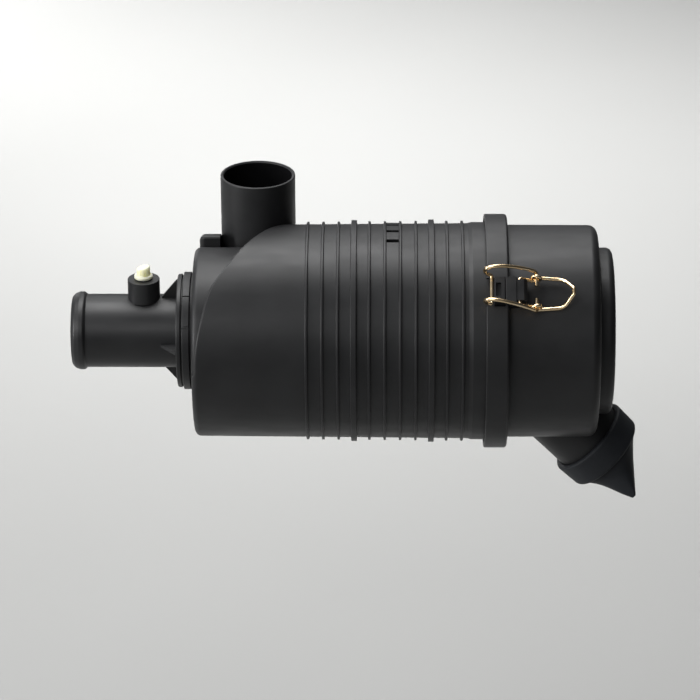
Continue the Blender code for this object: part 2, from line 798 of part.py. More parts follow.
def make_service_cover():
    rounding = COVER_ROUNDING
    profile = [(0.0, CUP_END_X)]
    profile += arc(
        (CUP_RADIUS - CUP_ROUNDING, CUP_END_X - CUP_ROUNDING), CUP_ROUNDING, 90, 0, 3
    )
    profile.append((CUP_RADIUS, COVER_SHOULDER_X))
    profile += arc(
        (COVER_END_RADIUS - rounding, COVER_SHOULDER_X - rounding), rounding, 90, 0, 3
    )
    profile += [
        (COVER_RADIUS, SKIRT_END_X),
        (SKIRT_RADIUS - 1.2 * MM, SKIRT_END_X),
        (SKIRT_RADIUS, SKIRT_END_X - 1.2 * MM),
        (SKIRT_RADIUS, SKIRT_START_X),
        (SKIRT_BORE, SKIRT_START_X),
        (SKIRT_BORE, SKIRT_END_X - WALL),
        (0.0, SKIRT_END_X - WALL),
    ]
    cover = turned("service_cover", profile, material=PLASTIC)

    frame = spout_frame()
    start = frame @ Matrix.Translation((0.0, 0.0, -SPOUT_INSIDE))
    length = SPOUT_INSIDE + SPOUT_BEYOND_RIM
    join(cover, rod("spout", SPOUT_RADIUS, length, start, cutter=True))

    for label, station in stations.items():
        notch = box(
            "notch_" + label,
            (SKIRT_START_X - 5 * MM, -NOTCH_HALF_WIDTH, COLLAR_RADIUS + GAP),
            (PIVOT_BLOCK_START_X, NOTCH_HALF_WIDTH, SKIRT_RADIUS + 5 * MM),
            cutter=True,
            parent=station,
        )
        wide = box(
            "wide_block_" + label,
            (PIVOT_BLOCK_START_X, -WIDE_BLOCK_HALF_WIDTH, 72 * MM),
            (WIDE_BLOCK_END_X, WIDE_BLOCK_HALF_WIDTH, LUG_TOP),
            cutter=True,
            parent=station,
        )
        narrow_outline = [
            (PIVOT_BLOCK_START_X + 2 * MM, 71.8 * MM),
            (NARROW_BLOCK_END_X, 71.8 * MM),
            (NARROW_BLOCK_END_X, LUG_TOP - 2.4 * MM),
            (NARROW_BLOCK_END_X - 2.2 * MM, LUG_TOP - 0.6 * MM),
            (PIVOT_BLOCK_START_X + 2 * MM, LUG_TOP - 0.6 * MM),
        ]
        narrow = prism(
            "narrow_block_" + label,
            narrow_outline,
            NARROW_BLOCK_HALF_WIDTH,
            cutter=True,
            parent=station,
        )
        across = Matrix.Translation((PIVOT_X, 12 * MM, PIVOT_R))
        across = across @ Matrix.Rotation(math.pi / 2, 4, "X")
        pivot_hole = rod(
            "pivot_hole_" + label,
            WIRE_RADIUS + 0.4 * MM,
            24 * MM,
            across,
            segments=12,
            cutter=True,
            parent=station,
        )
        cut(cover, notch)
        join(cover, wide, narrow)
        cut(cover, pivot_hole)
    cut(cover, rod("spout_bore", SPOUT_BORE, length + 10 * MM, start, cutter=True))
    cut(cover, turned("cover_cavity", cover_cavity_profile(), cutter=True))
    smooth(cover)


def make_cover_seal():
    start = BODY_RIM_X + GAP
    ring("cover_seal", SEAL_BORE, SEAL_RADIUS, start, start + SEAL_THICKNESS, material=RUBBER)


def make_cover_baffle():
    baffle = ring("cover_baffle", BAFFLE_BORE, BAFFLE_RADIUS, BAFFLE_START_X, BAFFLE_END_X,
                  material=PLASTIC)
    window = box(
        "baffle_window",
        (BAFFLE_WINDOW_X[0], -BAFFLE_WINDOW_HALF_WIDTH, -70 * MM),
        (BAFFLE_WINDOW_X[1], BAFFLE_WINDOW_HALF_WIDTH, -45 * MM),
        cutter=True,
    )
    cut(baffle, window)
    smooth(baffle)


def oval(frame, half_width, half_depth, depth):
    """A ring of points of an ellipse, at a depth down the spout."""
    below_collar = max(0.0, depth - VALVE_COLLAR_LENGTH)
    droop = VALVE_DROOP * below_collar / (VALVE_LENGTH - VALVE_COLLAR_LENGTH)
    points = []
    for i in range(ROUND_MID):
        turn = math.tau * i / ROUND_MID
        across = half_width * math.cos(turn)
        along = half_depth * math.sin(turn) - droop
        points.append(frame @ Vector((across, along, depth)))
    return points


def make_dust_valve():
    frame = spout_frame()
    frame.translation = (0.0, 0.0, 0.0)
    bore = SPOUT_RADIUS + GAP
    seat = SPOUT_BEYOND_RIM + GAP
    tip = VALVE_LENGTH
    collar = VALVE_COLLAR_LENGTH
    middle = (collar + tip) / 2
    inner_width = VALVE_WIDTH - VALVE_WALL
    rings = [
        oval(frame, inner_width - 2 * MM, 0.5 * MM, tip - 6 * MM),
        oval(frame, inner_width - MM, VALVE_MIDDLE_BORE_DEPTH, middle),
        oval(frame, VALVE_SHOULDER_BORE, VALVE_SHOULDER_BORE, seat + 2 * MM),
        oval(frame, VALVE_SHOULDER_BORE, VALVE_SHOULDER_BORE, seat),
        oval(frame, bore, bore, seat),
        oval(frame, bore, bore, 0.0),
        oval(frame, VALVE_TOP_RADIUS - 1.2 * MM, VALVE_TOP_RADIUS - 1.2 * MM, 0.0),
        oval(frame, VALVE_TOP_RADIUS, VALVE_TOP_RADIUS, 1.2 * MM),
        oval(frame, VALVE_COLLAR_END_RADIUS, VALVE_COLLAR_END_RADIUS, collar),
        oval(frame, VALVE_SHOULDER_RADIUS, VALVE_SHOULDER_RADIUS, collar + 0.8 * MM),
        oval(frame, VALVE_MIDDLE_WIDTH, VALVE_MIDDLE_DEPTH, middle),
        oval(frame, VALVE_WIDTH, VALVE_TIP_HALF, tip),
    ]
    loft("dust_valve", rings, material=RUBBER, location=SPOUT_POINT)
    smooth(bpy.data.objects["dust_valve"])


# -------------------------------------------------------------------- latches

def mirrored(half):
    """A path that runs down one side and back along the other."""
    return half + [Vector((x, -y, z)) for x, y, z in reversed(half)]


def make_handle(label, station):
    """The hand lever: one bent wire with an eye on each leg."""
    leg_z = HANDLE_LEG_R - PIVOT_R
    eye = Vector((EYE_X - PIVOT_X, 0.0, EYE_R - PIVOT_R))
    width = HANDLE_HALF_WIDTH
    corners = [
        (0.0, 4.0 * MM, 0.0),
        (0.0, width, 0.0),
        (eye.x - 4.4 * MM, width, leg_z),
        (HANDLE_CORNER_X - PIVOT_X, width, leg_z),
        (HANDLE_TIP_X - PIVOT_X, 1.5 * MM, HANDLE_TIP_R - PIVOT_R),
        (HANDLE_TIP_X - PIVOT_X, 0.0, HANDLE_TIP_R - PIVOT_R),
    ]
    half = rounded_path(corners, 3.0 * MM, steps=2)[:-1]
    name = "latch_handle_" + label
    pivot = (PIVOT_X, 0.0, PIVOT_R)
    lever = wire(name, mirrored(half), parent=station, location=pivot)
    lever = mesh_from_curve(lever)
    lever.data.materials.append(PLATED_WIRE)
    for side in (-1, 1):
        sides = 6
        turn = math.tau / sides
        profile = [
            (EYE_RADIUS + WIRE_RADIUS * math.cos(i * turn), -WIRE_RADIUS * math.sin(i * turn))
            for i in range(sides)
        ]
        loop = turned(
            "eye_%s_%d" % (label, side),
            profile,
            14,
            closed=True,
            axis="Z",
            cutter=True,
            parent=station,
            location=(EYE_X, side * width, EYE_R),
        )
        loop.rotation_euler = (math.pi / 2, 0.0, 0.0)
        join(lever, loop)


def make_link(label, station):
    """The hook wire, from the handle's eyes to the crosspiece behind the lug."""
    eye = Vector((EYE_X, 0.0, EYE_R))
    corners = [Vector(point) * MM - eye for point in HOOK_ROUTE]
    half = rounded_path(corners, 2.4 * MM, steps=2)[:-1]
    name = "latch_link_" + label
    wire(
        name,
        mirrored(half),
        material=PLATED_WIRE,
        parent=station,
        location=(EYE_X, 0.0, EYE_R),
    )


# ------------------------------------------------------------ filter elements

def pleats(name, count, inner, outer, start, end):
    """Pleated paper: a zigzag band with a constant wall, pushed along X."""
    thickness = PLEAT_THICKNESS * (outer - inner)
    data = bpy.data.curves.new(name, "CURVE")
    data.dimensions = "2D"
    data.fill_mode = "BOTH"
    data.extrude = (end - start) / 2
    for offset in (thickness, -thickness):
        spline = data.splines.new("POLY")
        spline.points.add(2 * count - 1)
        spline.use_cyclic_u = True
        for i, control in enumerate(spline.points):
            angle = math.pi * i / count
            radius = (outer - thickness if i % 2 else inner + thickness) + offset
            control.co = (radius * math.cos(angle), radius * math.sin(angle), 0.0, 1.0)
    media = place(name, data, material=PAPER, location=((start + end) / 2, 0.0, 0.0))
    media.rotation_euler = (0.0, math.pi / 2, 0.0)
    return media


def make_primary_element():
    media_start = PRIMARY_CAP_END_X + GAP
    media_end = PRIMARY_END_CAP_X - GAP
    seal_bore = STUB_RADIUS + GAP
    seal_profile = [
        (PRIMARY_RADIUS, PRIMARY_CAP_END_X),
        (PRIMARY_RADIUS, PRIMARY_START_X + 2 * MM),
        (PRIMARY_RADIUS - 2 * MM, PRIMARY_START_X),
        (SNAP_RADIUS + 2.5 * MM, PRIMARY_START_X),
        (seal_bore, PRIMARY_START_X + 3.5 * MM),
        (seal_bore, PRIMARY_CAP_END_X),
    ]
    turned("primary_seal_cap", seal_profile, closed=True, material=URETHANE)
    end_profile = [
        (0.0, PRIMARY_END_X),
        (PRIMARY_RADIUS - 3 * MM, PRIMARY_END_X),
        (PRIMARY_RADIUS, PRIMARY_END_X - 3 * MM),
        (PRIMARY_RADIUS, PRIMARY_END_CAP_X),
        (PRIMARY_RECESS_RADIUS, PRIMARY_END_CAP_X),
        (PRIMARY_RECESS_RADIUS, PRIMARY_END_CAP_X + PRIMARY_RECESS_DEPTH),
        (0.0, PRIMARY_END_CAP_X + PRIMARY_RECESS_DEPTH),
    ]
    turned("primary_end_cap", end_profile, material=URETHANE)
    pleats(
        "primary_media",
        PRIMARY_PLEATS,
        PRIMARY_PLEAT_INNER,
        PRIMARY_PLEAT_OUTER,
        media_start,
        media_end,
    )
    ring("primary_inner_liner", INNER_LINER_BORE, INNER_LINER_RADIUS, media_start, media_end,
         material=LINER_STEEL)
    ring("primary_outer_liner", OUTER_LINER_BORE, OUTER_LINER_RADIUS, media_start, media_end,
         material=LINER_STEEL)


def make_safety_element():
    media_start = SAFETY_CAP_END_X + GAP
    media_end = SAFETY_END_CAP_X - GAP
    ring("safety_seal_cap", SAFETY_BORE, SAFETY_SEAL_RADIUS, SAFETY_START_X, SAFETY_CAP_END_X,
         material=URETHANE)
    disc("safety_end_cap", SAFETY_CAP_RADIUS, SAFETY_END_CAP_X, SAFETY_END_X, material=URETHANE)
    pleats(
        "safety_media",
        SAFETY_PLEATS,
        SAFETY_PLEAT_INNER,
        SAFETY_PLEAT_OUTER,
        media_start,
        media_end,
    )
    ring("safety_liner", SAFETY_LINER_BORE, SAFETY_LINER_RADIUS, media_start, media_end,
         material=LINER_STEEL)


make_housing_body()
make_outlet_tube()
make_outlet_o_ring()
make_port_plug()
make_service_cover()
make_cover_seal()
make_cover_baffle()
make_dust_valve()
for label, station in stations.items():
    make_handle(label, station)
    make_link(label, station)
make_primary_element()
make_safety_element()
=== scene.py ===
"""Looks of a two-stage air filter housing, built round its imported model.

Metres, +Z up, in the model's own frame: the housing's axis is X, the service
cover is at +X, the inlet tube points up and the front is -Y.  Every piece
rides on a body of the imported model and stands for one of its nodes.
"""

import math

import bmesh
import bpy
from mathutils import Matrix, Vector


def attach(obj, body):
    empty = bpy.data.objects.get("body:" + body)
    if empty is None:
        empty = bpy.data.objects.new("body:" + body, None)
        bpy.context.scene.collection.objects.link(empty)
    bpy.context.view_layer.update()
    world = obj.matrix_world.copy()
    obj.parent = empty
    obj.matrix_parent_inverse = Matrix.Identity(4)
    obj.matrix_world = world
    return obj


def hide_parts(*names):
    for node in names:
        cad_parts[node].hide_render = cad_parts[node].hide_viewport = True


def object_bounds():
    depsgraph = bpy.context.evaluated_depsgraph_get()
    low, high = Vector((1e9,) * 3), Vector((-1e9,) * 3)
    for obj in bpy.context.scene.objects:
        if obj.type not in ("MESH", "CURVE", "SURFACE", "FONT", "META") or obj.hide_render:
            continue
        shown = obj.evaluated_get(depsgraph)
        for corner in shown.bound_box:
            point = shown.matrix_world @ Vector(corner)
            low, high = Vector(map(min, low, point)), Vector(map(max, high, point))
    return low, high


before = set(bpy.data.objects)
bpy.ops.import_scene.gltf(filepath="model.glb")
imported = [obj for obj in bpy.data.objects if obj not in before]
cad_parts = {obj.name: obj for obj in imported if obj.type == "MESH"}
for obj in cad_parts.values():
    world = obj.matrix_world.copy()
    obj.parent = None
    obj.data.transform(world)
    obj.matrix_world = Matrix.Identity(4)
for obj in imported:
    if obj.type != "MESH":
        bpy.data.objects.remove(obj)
cad_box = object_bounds()

MM = 0.001
WALL = 2.5 * MM
FINE = 192  # facets round the large turned surfaces
MEDIUM = 96  # facets round hoses, spout and port
AXIS_X = Matrix.Identity(4)
AXIS_Z = Matrix.Rotation(-math.pi / 2, 4, "Y")
BEYOND = 5 * MM  # how far cutting shapes reach past what they cut
FLOOR_DROP = 0.30  # the housing is held this far above the floor

# Housing body
BODY_END_X = -136.0 * MM
BODY_RIM_X = 74.0 * MM
BODY_END_RADIUS = 72.9 * MM
DRAFT = 0.008
END_ROUNDING = 4.0 * MM
COLLAR_X = 54.0 * MM
COLLAR_RADIUS = 75.15 * MM
RIB_PITCH = 10.6 * MM
RIB_COUNT = 11
TALL_RIB_X = 2.5 * RIB_PITCH
LOW_RIB = (1.6 * MM, 1.8 * MM)  # width, height
TALL_RIB = (3.8 * MM, 2.7 * MM)
RAMP_RUN = 43.6 * MM
RAMP_FRONT_Y = -73.2 * MM
RAMP_BULGE = 2.4 * MM  # the ramp's front swells this far to the inlet end
BULGE_START, BULGE_END = 0.42, 0.92  # shares of the way from the axis to the front
RAMP_EDGE = 2.6 * MM  # rounding of the ramp's edge at the top
RAMP_DIP = 0.018  # at the back the ramp passes the axis by this sine
PLAIN_SIDE_X = -62.0 * MM  # the side is turned from here to the rim
SMALL_END_RADIUS = 61.2 * MM
SMALL_END_Y = -10.8 * MM
RAMP_STEP = 1.6 * MM  # the small end lies this far under the ramp's edge
SMALL_END_REACH_X = -50.0 * MM
ELEMENT_ROOM_RADIUS = 53.5 * MM
PAD_HALF_LENGTH = 4.4 * MM
PAD_FOOT_RADIUS = 69 * MM
SLOT_ANGLES = (-10.6, 0.0, 10.6)
SLOT_HALF_LENGTH = 4.1 * MM
SLOT_HALF_WIDTH = 1.9 * MM
SLOT_DEPTH = 2.4 * MM

# Inlet
INLET_RADIUS = 25.9 * MM
INLET_BORE = 23.6 * MM
INLET_X = -93.4 * MM
INLET_Y = 46.9 * MM
INLET_TOP_Z = 97.5 * MM
DUCT_END_X = -133.5 * MM
DUCT_RADIUS = 62.6 * MM
DUCT_CENTRE_Y = 10.8 * MM
DUCT_REACH_X = -60.0 * MM
DUCT_FRONT_Y = 22.4 * MM
DUCT_BOTTOM_Z = -3.0 * MM
DUCT_CORNER = 3.6 * MM  # rounding at the top of the duct's front
RECESS_LOW_Z = 10 * MM

# Socket and outlet tube
SOCKET_RADIUS = 40.7 * MM
SOCKET_FACE_X = -144.0 * MM
SOCKET_BACK_X = -138.8 * MM
SOCKET_NECK_RADIUS = 38.5 * MM
SOCKET_BORE = 30.3 * MM
TICK_ANGLES = (30.4, 63.6)  # marks cut in the socket, from the top
TICK_HALF_WIDTH = 0.45 * MM
TICK_DEPTH = 1.2 * MM
RIDGE_ANGLE = 60.8  # a raised mark beside the lower one
RIDGE_HALF_WIDTH = 0.4 * MM
RIDGE_HEIGHT = 0.8 * MM
HOSE_RADIUS = 25.4 * MM
OUTLET_END_X = -221.1 * MM
OUTLET_BEAD_X = -214.5 * MM
OUTLET_BEAD_RADIUS = 27.05 * MM
OUTLET_BORE = 22.9 * MM
FLANGE_FACE_X = -148.1 * MM
FLANGE_BACK_X = -145.0 * MM
FLANGE_RADIUS = 39.25 * MM
STUB_RADIUS = 28.0 * MM
STUB_END_X = -105.0 * MM
STUB_LAND_RADIUS = 30.0 * MM  # the raised bands on both sides of the O-ring
CATCH_RADIUS = 31.4 * MM
O_RING_X = -140 * MM
O_RING_HALF = 0.8 * MM
GROOVE_HALF = 1.2 * MM
GUSSET_LENGTH = 11.0 * MM
GUSSET_TOP_RADIUS = 38.6 * MM
PORT_X = -171.3 * MM
PORT_TOP_Z = 39.3 * MM
PORT_BORE = 4.6 * MM
PORT_MOUTH = 5.2 * MM
PLUG_TOP_Z = 49.0 * MM

# Service cover
SKIRT_START_X = 63.0 * MM
SKIRT_END_X = 78.5 * MM
SKIRT_RADIUS = 80.8 * MM
SKIRT_BORE = 78.0 * MM
COVER_RADIUS = 73.35 * MM
COVER_END_RADIUS = 73.1 * MM
COVER_SHOULDER_X = 140.8 * MM
CUP_RADIUS = 57.6 * MM
CUP_END_X = 151.2 * MM

# Spout and dust valve
SPOUT_POINT = Vector((136.5, 0.0, -81.0)) * MM
SPOUT_RADIUS = 26.0 * MM
SPOUT_BORE = 23.4 * MM
SPOUT_BEYOND_RIM = 14.0 * MM
SPOUT_INSIDE = 40.0 * MM
VALVE_COLLAR = 18.5 * MM
VALVE_LENGTH = 47.5 * MM
VALVE_DROOP = 1.7 * MM
VALVE_RADIUS = 24.9 * MM
VALVE_BORE = 22 * MM
LIP_HALF_DEPTH = 1.9 * MM

# Latches
LATCH_ANGLES = {"upper": 43.5, "lower": 223.5}
LUG_START_X = 68.2 * MM
LUG_END_X = 75.4 * MM
LUG_HALF_WIDTH = 8.9 * MM
LUG_TOP = 86.2 * MM
NOTCH_HALF_WIDTH = 10.2 * MM
BLOCK_START_X = 75.7 * MM
WIDE_BLOCK_END_X = 83.2 * MM
NARROW_BLOCK_END_X = 90.3 * MM
NARROW_BLOCK_HALF_WIDTH = 7.3 * MM
WIRE_RADIUS = 1.25 * MM
PIVOT = Vector((85.0, 0.0, 82.4)) * MM
EYE = Vector((96.6, 0.0, 79.8)) * MM
EYE_RADIUS = 2.85 * MM
PIVOT_HOLE = 1.65 * MM
BLOCK_FOOT = 72 * MM

# Filter elements
PRIMARY_START_X, PRIMARY_END_X = -116.7 * MM, 127.7 * MM
PRIMARY_CAP = 52  # millimetres, the radius of both end caps
SAFETY_START_X, SAFETY_END_X = -115.7 * MM, 91.7 * MM
SAFETY_BORE = 14.6 * MM
SAFETY_RADIUS = 22.6 * MM


# ---------- materials

def set_inputs(node, values):
    for name, value in values.items():
        node.inputs[name].default_value = value


def node_material(name, base, roughness, metallic=0.0):
    """A material with its shader, and the coordinates of the object."""
    material = bpy.data.materials.new(name)
    material.use_nodes = True
    nodes = material.node_tree.nodes
    shader = nodes["Principled BSDF"]
    colour = (*base, 1.0)
    set_inputs(shader, {"Base Color": colour, "Roughness": roughness, "Metallic": metallic})
    place = nodes.new("ShaderNodeTexCoord")
    return material, shader, place.outputs["Object"]


def noise_value(material, where, scale, detail=3.0, stretch=None):
    """Noise from the object's coordinates; scale counts features a metre."""
    nodes, links = material.node_tree.nodes, material.node_tree.links
    if stretch:
        mapping = nodes.new("ShaderNodeMapping")
        mapping.inputs["Scale"].default_value = stretch
        links.new(where, mapping.inputs["Vector"])
        where = mapping.outputs["Vector"]
    texture = nodes.new("ShaderNodeTexNoise")
    set_inputs(texture, {"Scale": scale, "Detail": detail})
    links.new(where, texture.inputs["Vector"])
    return texture.outputs["Fac"]


def vary_socket(material, socket, value, low, high, start=0.3, end=0.7):
    """Blend a socket between two colours, or two numbers, over a range of a value."""
    nodes, links = material.node_tree.nodes, material.node_tree.links
    node = nodes.new("ShaderNodeValToRGB")
    for element, place, colour in zip(node.color_ramp.elements, (start, end), (low, high)):
        element.position = place
        element.color = (*colour, 1.0) if isinstance(colour, tuple) else (colour,) * 3 + (1.0,)
    links.new(value, node.inputs["Fac"])
    links.new(node.outputs["Color"], nodes["Principled BSDF"].inputs[socket])


def bump(material, shader, value, strength, distance, after=None):
    """Raise a surface by a value; after is an earlier bump to build on."""
    nodes, links = material.node_tree.nodes, material.node_tree.links
    node = nodes.new("ShaderNodeBump")
    set_inputs(node, {"Strength": strength, "Distance": distance})
    links.new(value, node.inputs["Height"])
    if after:
        links.new(after, node.inputs["Normal"])
    links.new(node.outputs["Normal"], shader.inputs["Normal"])
    return node.outputs["Normal"]


def moulded(name, base, roughness, grain=2600.0, depth=0.00006, specular=0.4, vary=0.2):
    """A moulded surface: fine grain, soft waves, patches of more or less shine."""
    material, shader, where = node_material(name, base, roughness)
    shader.inputs["Specular IOR Level"].default_value = specular
    dark = tuple(value * (1 - vary) for value in base)
    light = tuple(value * (1 + vary) for value in base)
    patches = noise_value(material, where, 38.0, 4.0)
    vary_socket(material, "Base Color", patches, dark, light)
    shine = noise_value(material, where, 95.0, 5.0, (0.35, 1.0, 1.0))
    vary_socket(material, "Roughness", shine, roughness - 0.05, roughness + 0.06)
    fine = noise_value(material, where, grain, 2.0)
    wavy = noise_value(material, where, 55.0, 2.0)
    first = bump(material, shader, fine, 0.35, depth)
    bump(material, shader, wavy, 0.25, 0.0004, first)
    return material


def plated_wire():
    """Yellow zinc plate, with its faint pink and green cast."""
    material, shader, where = node_material("zinc_yellow_wire", (0.90, 0.74, 0.44), 0.22, 1.0)
    cast = noise_value(material, where, 140.0, 4.0)
    vary_socket(material, "Base Color", cast, (0.93, 0.68, 0.38), (0.98, 0.80, 0.54))
    scuffs = noise_value(material, where, 260.0, 3.0)
    vary_socket(material, "Roughness", scuffs, 0.17, 0.25)
    bump(material, shader, scuffs, 0.01, 0.00001)
    return material


def pale_plastic():
    """Pale yellow plastic that lets some light into its surface."""
    base = (0.95, 0.91, 0.62)
    material = moulded("pale_yellow_plastic", base, 0.36, 1500.0, 0.00005, 0.5, 0.04)
    shader = material.node_tree.nodes["Principled BSDF"]
    set_inputs(shader, {
        "Subsurface Weight": 0.8,
        "Subsurface Radius": (1.0, 0.97, 0.8),
        "Subsurface Scale": 0.008,
    })
    return material


def paper():
    """Filter paper: pale fibres with a crimped surface."""
    material, shader, where = node_material("filter_paper", (0.74, 0.66, 0.47), 0.9)
    fibres = noise_value(material, where, 1500.0, 6.0, (0.3, 1.0, 1.0))
    vary_socket(material, "Base Color", fibres, (0.62, 0.54, 0.37), (0.82, 0.75, 0.56))
    bump(material, shader, fibres, 0.5, 0.00012)
    return material


def zinc_sheet():
    """Zinc-coated sheet steel, with its crystal patches."""
    material, shader, where = node_material("zinc_sheet", (0.62, 0.63, 0.64), 0.34, 1.0)
    nodes, links = material.node_tree.nodes, material.node_tree.links
    crystals = nodes.new("ShaderNodeTexVoronoi")
    crystals.inputs["Scale"].default_value = 260.0
    links.new(where, crystals.inputs["Vector"])
    dark, light = (0.5, 0.51, 0.53), (0.7, 0.71, 0.72)
    vary_socket(material, "Base Color", crystals.outputs["Distance"], dark, light, 0.1, 0.8)
    scuffs = noise_value(material, where, 480.0, 4.0)
    vary_socket(material, "Roughness", scuffs, 0.26, 0.45)
    bump(material, shader, scuffs, 0.1, 0.00004)
    return material


PLASTIC = moulded("black_plastic", (0.0125, 0.0127, 0.0135), 0.46)
# Near-black matte plastic for the inside faces: painted shade, standing for the little light that
# reaches in.
PAINTED_SHADE_PLASTIC = moulded("painted_shade_inside_plastic", (0.004, 0.004, 0.0045), 0.8, specular=0.05)
OUTLET_PLASTIC = moulded("black_outlet_plastic", (0.0125, 0.0127, 0.0135), 0.42)
RUBBER = moulded("black_rubber", (0.0155, 0.0175, 0.0210), 0.62, 1700.0, 0.0001, 0.3)
SEAL = moulded("seal_rubber", (0.011, 0.011, 0.012), 0.68, 1900.0, 0.0001, 0.3)
YELLOW = pale_plastic()
URETHANE = moulded("moulded_urethane", (0.035, 0.035, 0.04), 0.7, 900.0, 0.00015, 0.35)
WIRE = plated_wire()
PAPER = paper()
ZINC = zinc_sheet()


# ---------- shape builders

def about_axis(degrees):
    return Matrix.Rotation(math.radians(degrees), 4, "X")


def new_object(name, data):
    made = bpy.data.objects.new(name, data)
    bpy.context.scene.collection.objects.link(made)
    return made


def evaluated_mesh(shape):
    """The mesh of a shape with its modifiers, or of a curve."""
    bpy.context.view_layer.update()
    graph = bpy.context.evaluated_depsgraph_get()
    return bpy.data.meshes.new_from_object(shape.evaluated_get(graph))


def solid(name, shape):
    """Turn a bmesh into an object with outward faces."""
    bmesh.ops.recalc_face_normals(shape, faces=shape.faces)
    data = bpy.data.meshes.new(name)
    shape.to_mesh(data)
    shape.free()
    return new_object(name, data)


def on_circle(x, radius, turn):
    """A point at an angle round the X axis."""
    return (x, radius * math.cos(turn), radius * math.sin(turn))


def skin(name, rings, closed=False):
    """Join rings of points; a ring of one point closes the surface there."""
    shape = bmesh.new()
    rows = [[shape.verts.new(point) for point in points] for points in rings]
    pairs = list(zip(rows, rows[1:]))
    if closed:
        pairs.append((rows[-1], rows[0]))
    count = max(len(row) for row in rows)
    for first, second in pairs:
        for i in range(count):
            j = (i + 1) % count
            corners = [
                first[i % len(first)],
                first[j % len(first)],
                second[j % len(second)],
                second[i % len(second)],
            ]
            corners = list(dict.fromkeys(corners))
            if len(corners) > 2:
                shape.faces.new(corners)
    return solid(name, shape)


def filleted(corners, closed=False, steps=5):
    """Points of an outline whose corners are (u, v) or (u, v, radius)."""
    points = []
    last = len(corners) - 1
    for i, (u, v, *rest) in enumerate(corners):
        corner = Vector((u, v))
        if not rest or rest[0] <= 0.0 or (not closed and i in (0, last)):
            points.append(corner)
            continue
        back = Vector(corners[i - 1][:2]) - corner
        ahead = Vector(corners[(i + 1) % len(corners)][:2]) - corner
        half = back.angle(ahead) / 2
        reach = min(rest[0] / math.tan(half), 0.49 * back.length, 0.49 * ahead.length)
        middle = (back.normalized() + ahead.normalized()).normalized()
        centre = corner + middle * (reach / math.cos(half))
        start = corner + back.normalized() * reach - centre
        end = corner + ahead.normalized() * reach - centre
        turn = start.angle_signed(end)
        for k in range(steps + 1):
            points.append(centre + Matrix.Rotation(-turn * k / steps, 2) @ start)
    return points


def revolved(name, corners, facets=FINE, closed=False, place=AXIS_X):
    """Turn (x, radius) corners about the X axis; unless closed, the ends run to it."""
    if not closed:
        corners = [(corners[0][0], 0.0), *corners, (corners[-1][0], 0.0)]
    rings = []
    for x, radius in filleted(corners, closed):
        if radius < 1e-7:
            rings.append([place @ Vector((x, 0.0, 0.0))])
            continue
        turns = [math.tau * i / facets for i in range(facets)]
        rings.append([place @ Vector(on_circle(x, radius, turn)) for turn in turns])
    return skin(name, rings, closed)


def plain_rod(name, radius, start, end, facets=FINE, place=AXIS_X):
    """A rod with flat ends and sharp edges, to cut with."""
    return revolved(name, [(start, radius), (end, radius)], facets, place=place)


def plain_tube(name, inner, outer, start, end, edge=0.3 * MM, facets=FINE):
    """A tube along the housing's axis, with softened edges."""
    corners = [(end, outer, edge), (start, outer, edge), (start, inner, edge), (end, inner, edge)]
    return revolved(name, corners, facets, closed=True)


def block(name, low, high, edge, place=AXIS_X):
    """A box between two corners, with rounded edges."""
    low, high = Vector(low), Vector(high)
    shape = bmesh.new()
    bmesh.ops.create_cube(shape, size=1.0)
    bmesh.ops.scale(shape, vec=high - low, verts=shape.verts)
    bmesh.ops.translate(shape, vec=(low + high) / 2, verts=shape.verts)
    if edge:
        bmesh.ops.bevel(
            shape, geom=list(shape.edges), offset=edge, segments=3, profile=0.5,
            affect="EDGES",
        )
    bmesh.ops.transform(shape, matrix=place, verts=shape.verts)
    return solid(name, shape)


def combine(shape, operation, *tools):
    """Join shapes, or cut tools out of a shape, and apply the result."""
    for tool in tools:
        modifier = shape.modifiers.new("combine", "BOOLEAN")
        modifier.operation = operation
        modifier.solver = "MANIFOLD"
        modifier.object = tool
    data = evaluated_mesh(shape)
    shape.modifiers.clear()
    shape.data = data
    for tool in tools:
        bpy.data.objects.remove(tool)
    return shape


def join(shape, *tools):
    return combine(shape, "UNION", *tools)


def cut(shape, *tools):
    return combine(shape, "DIFFERENCE", *tools)


def finish_piece(shape, material, body, slot, *nodes, sharp=32.0):
    """Shade a piece, give it its material and say what it stands for."""
    shape.data.materials.clear()
    shape.data.materials.append(material)
    shape.data.shade_smooth()
    shape.data.set_sharp_from_angle(angle=math.radians(sharp))
    weighted = shape.modifiers.new("even_shading", "WEIGHTED_NORMAL")
    weighted.keep_sharp = True
    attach(shape, body)
    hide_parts(*nodes)
    return shape


# ---------- housing body

def body_radius(x):
    """Radius of the main cylinder, which widens slowly to the rim."""
    return BODY_END_RADIUS + DRAFT * (x - BODY_END_X)


def ramp_x(y):
    """Where the ramp meets a given y."""
    share = y / RAMP_FRONT_Y
    along = (share - BULGE_START) / (BULGE_END - BULGE_START)
    swell = math.sin(math.pi * min(1.0, max(0.0, along))) ** 2
    return BODY_END_X + RAMP_RUN * (1 - share) - RAMP_BULGE * swell


def rib_corners():
    """Outline of the ribs, and of the slope up to the rim's collar."""
    corners = []
    for k in reversed(range(RIB_COUNT)):
        x = (RIB_COUNT / 2 - 1 - k) * RIB_PITCH
        tall = abs(abs(x) - TALL_RIB_X) < MM
        width, height = TALL_RIB if tall else LOW_RIB
        half = width / 2
        base = body_radius(x)
        corners += [
            (x - half - 0.15 * MM, base, 0.15 * MM),
            (x - half, base + height, 0.4 * MM),
            (x + half, base + height, 0.4 * MM),
            (x + half + 0.15 * MM, base, 0.15 * MM),
        ]
    corners += [
        (COLLAR_X - 2.4 * MM, body_radius(COLLAR_X), 0.8 * MM),
        (COLLAR_X + 0.4 * MM, COLLAR_RADIUS, 0.8 * MM),
    ]
    return corners


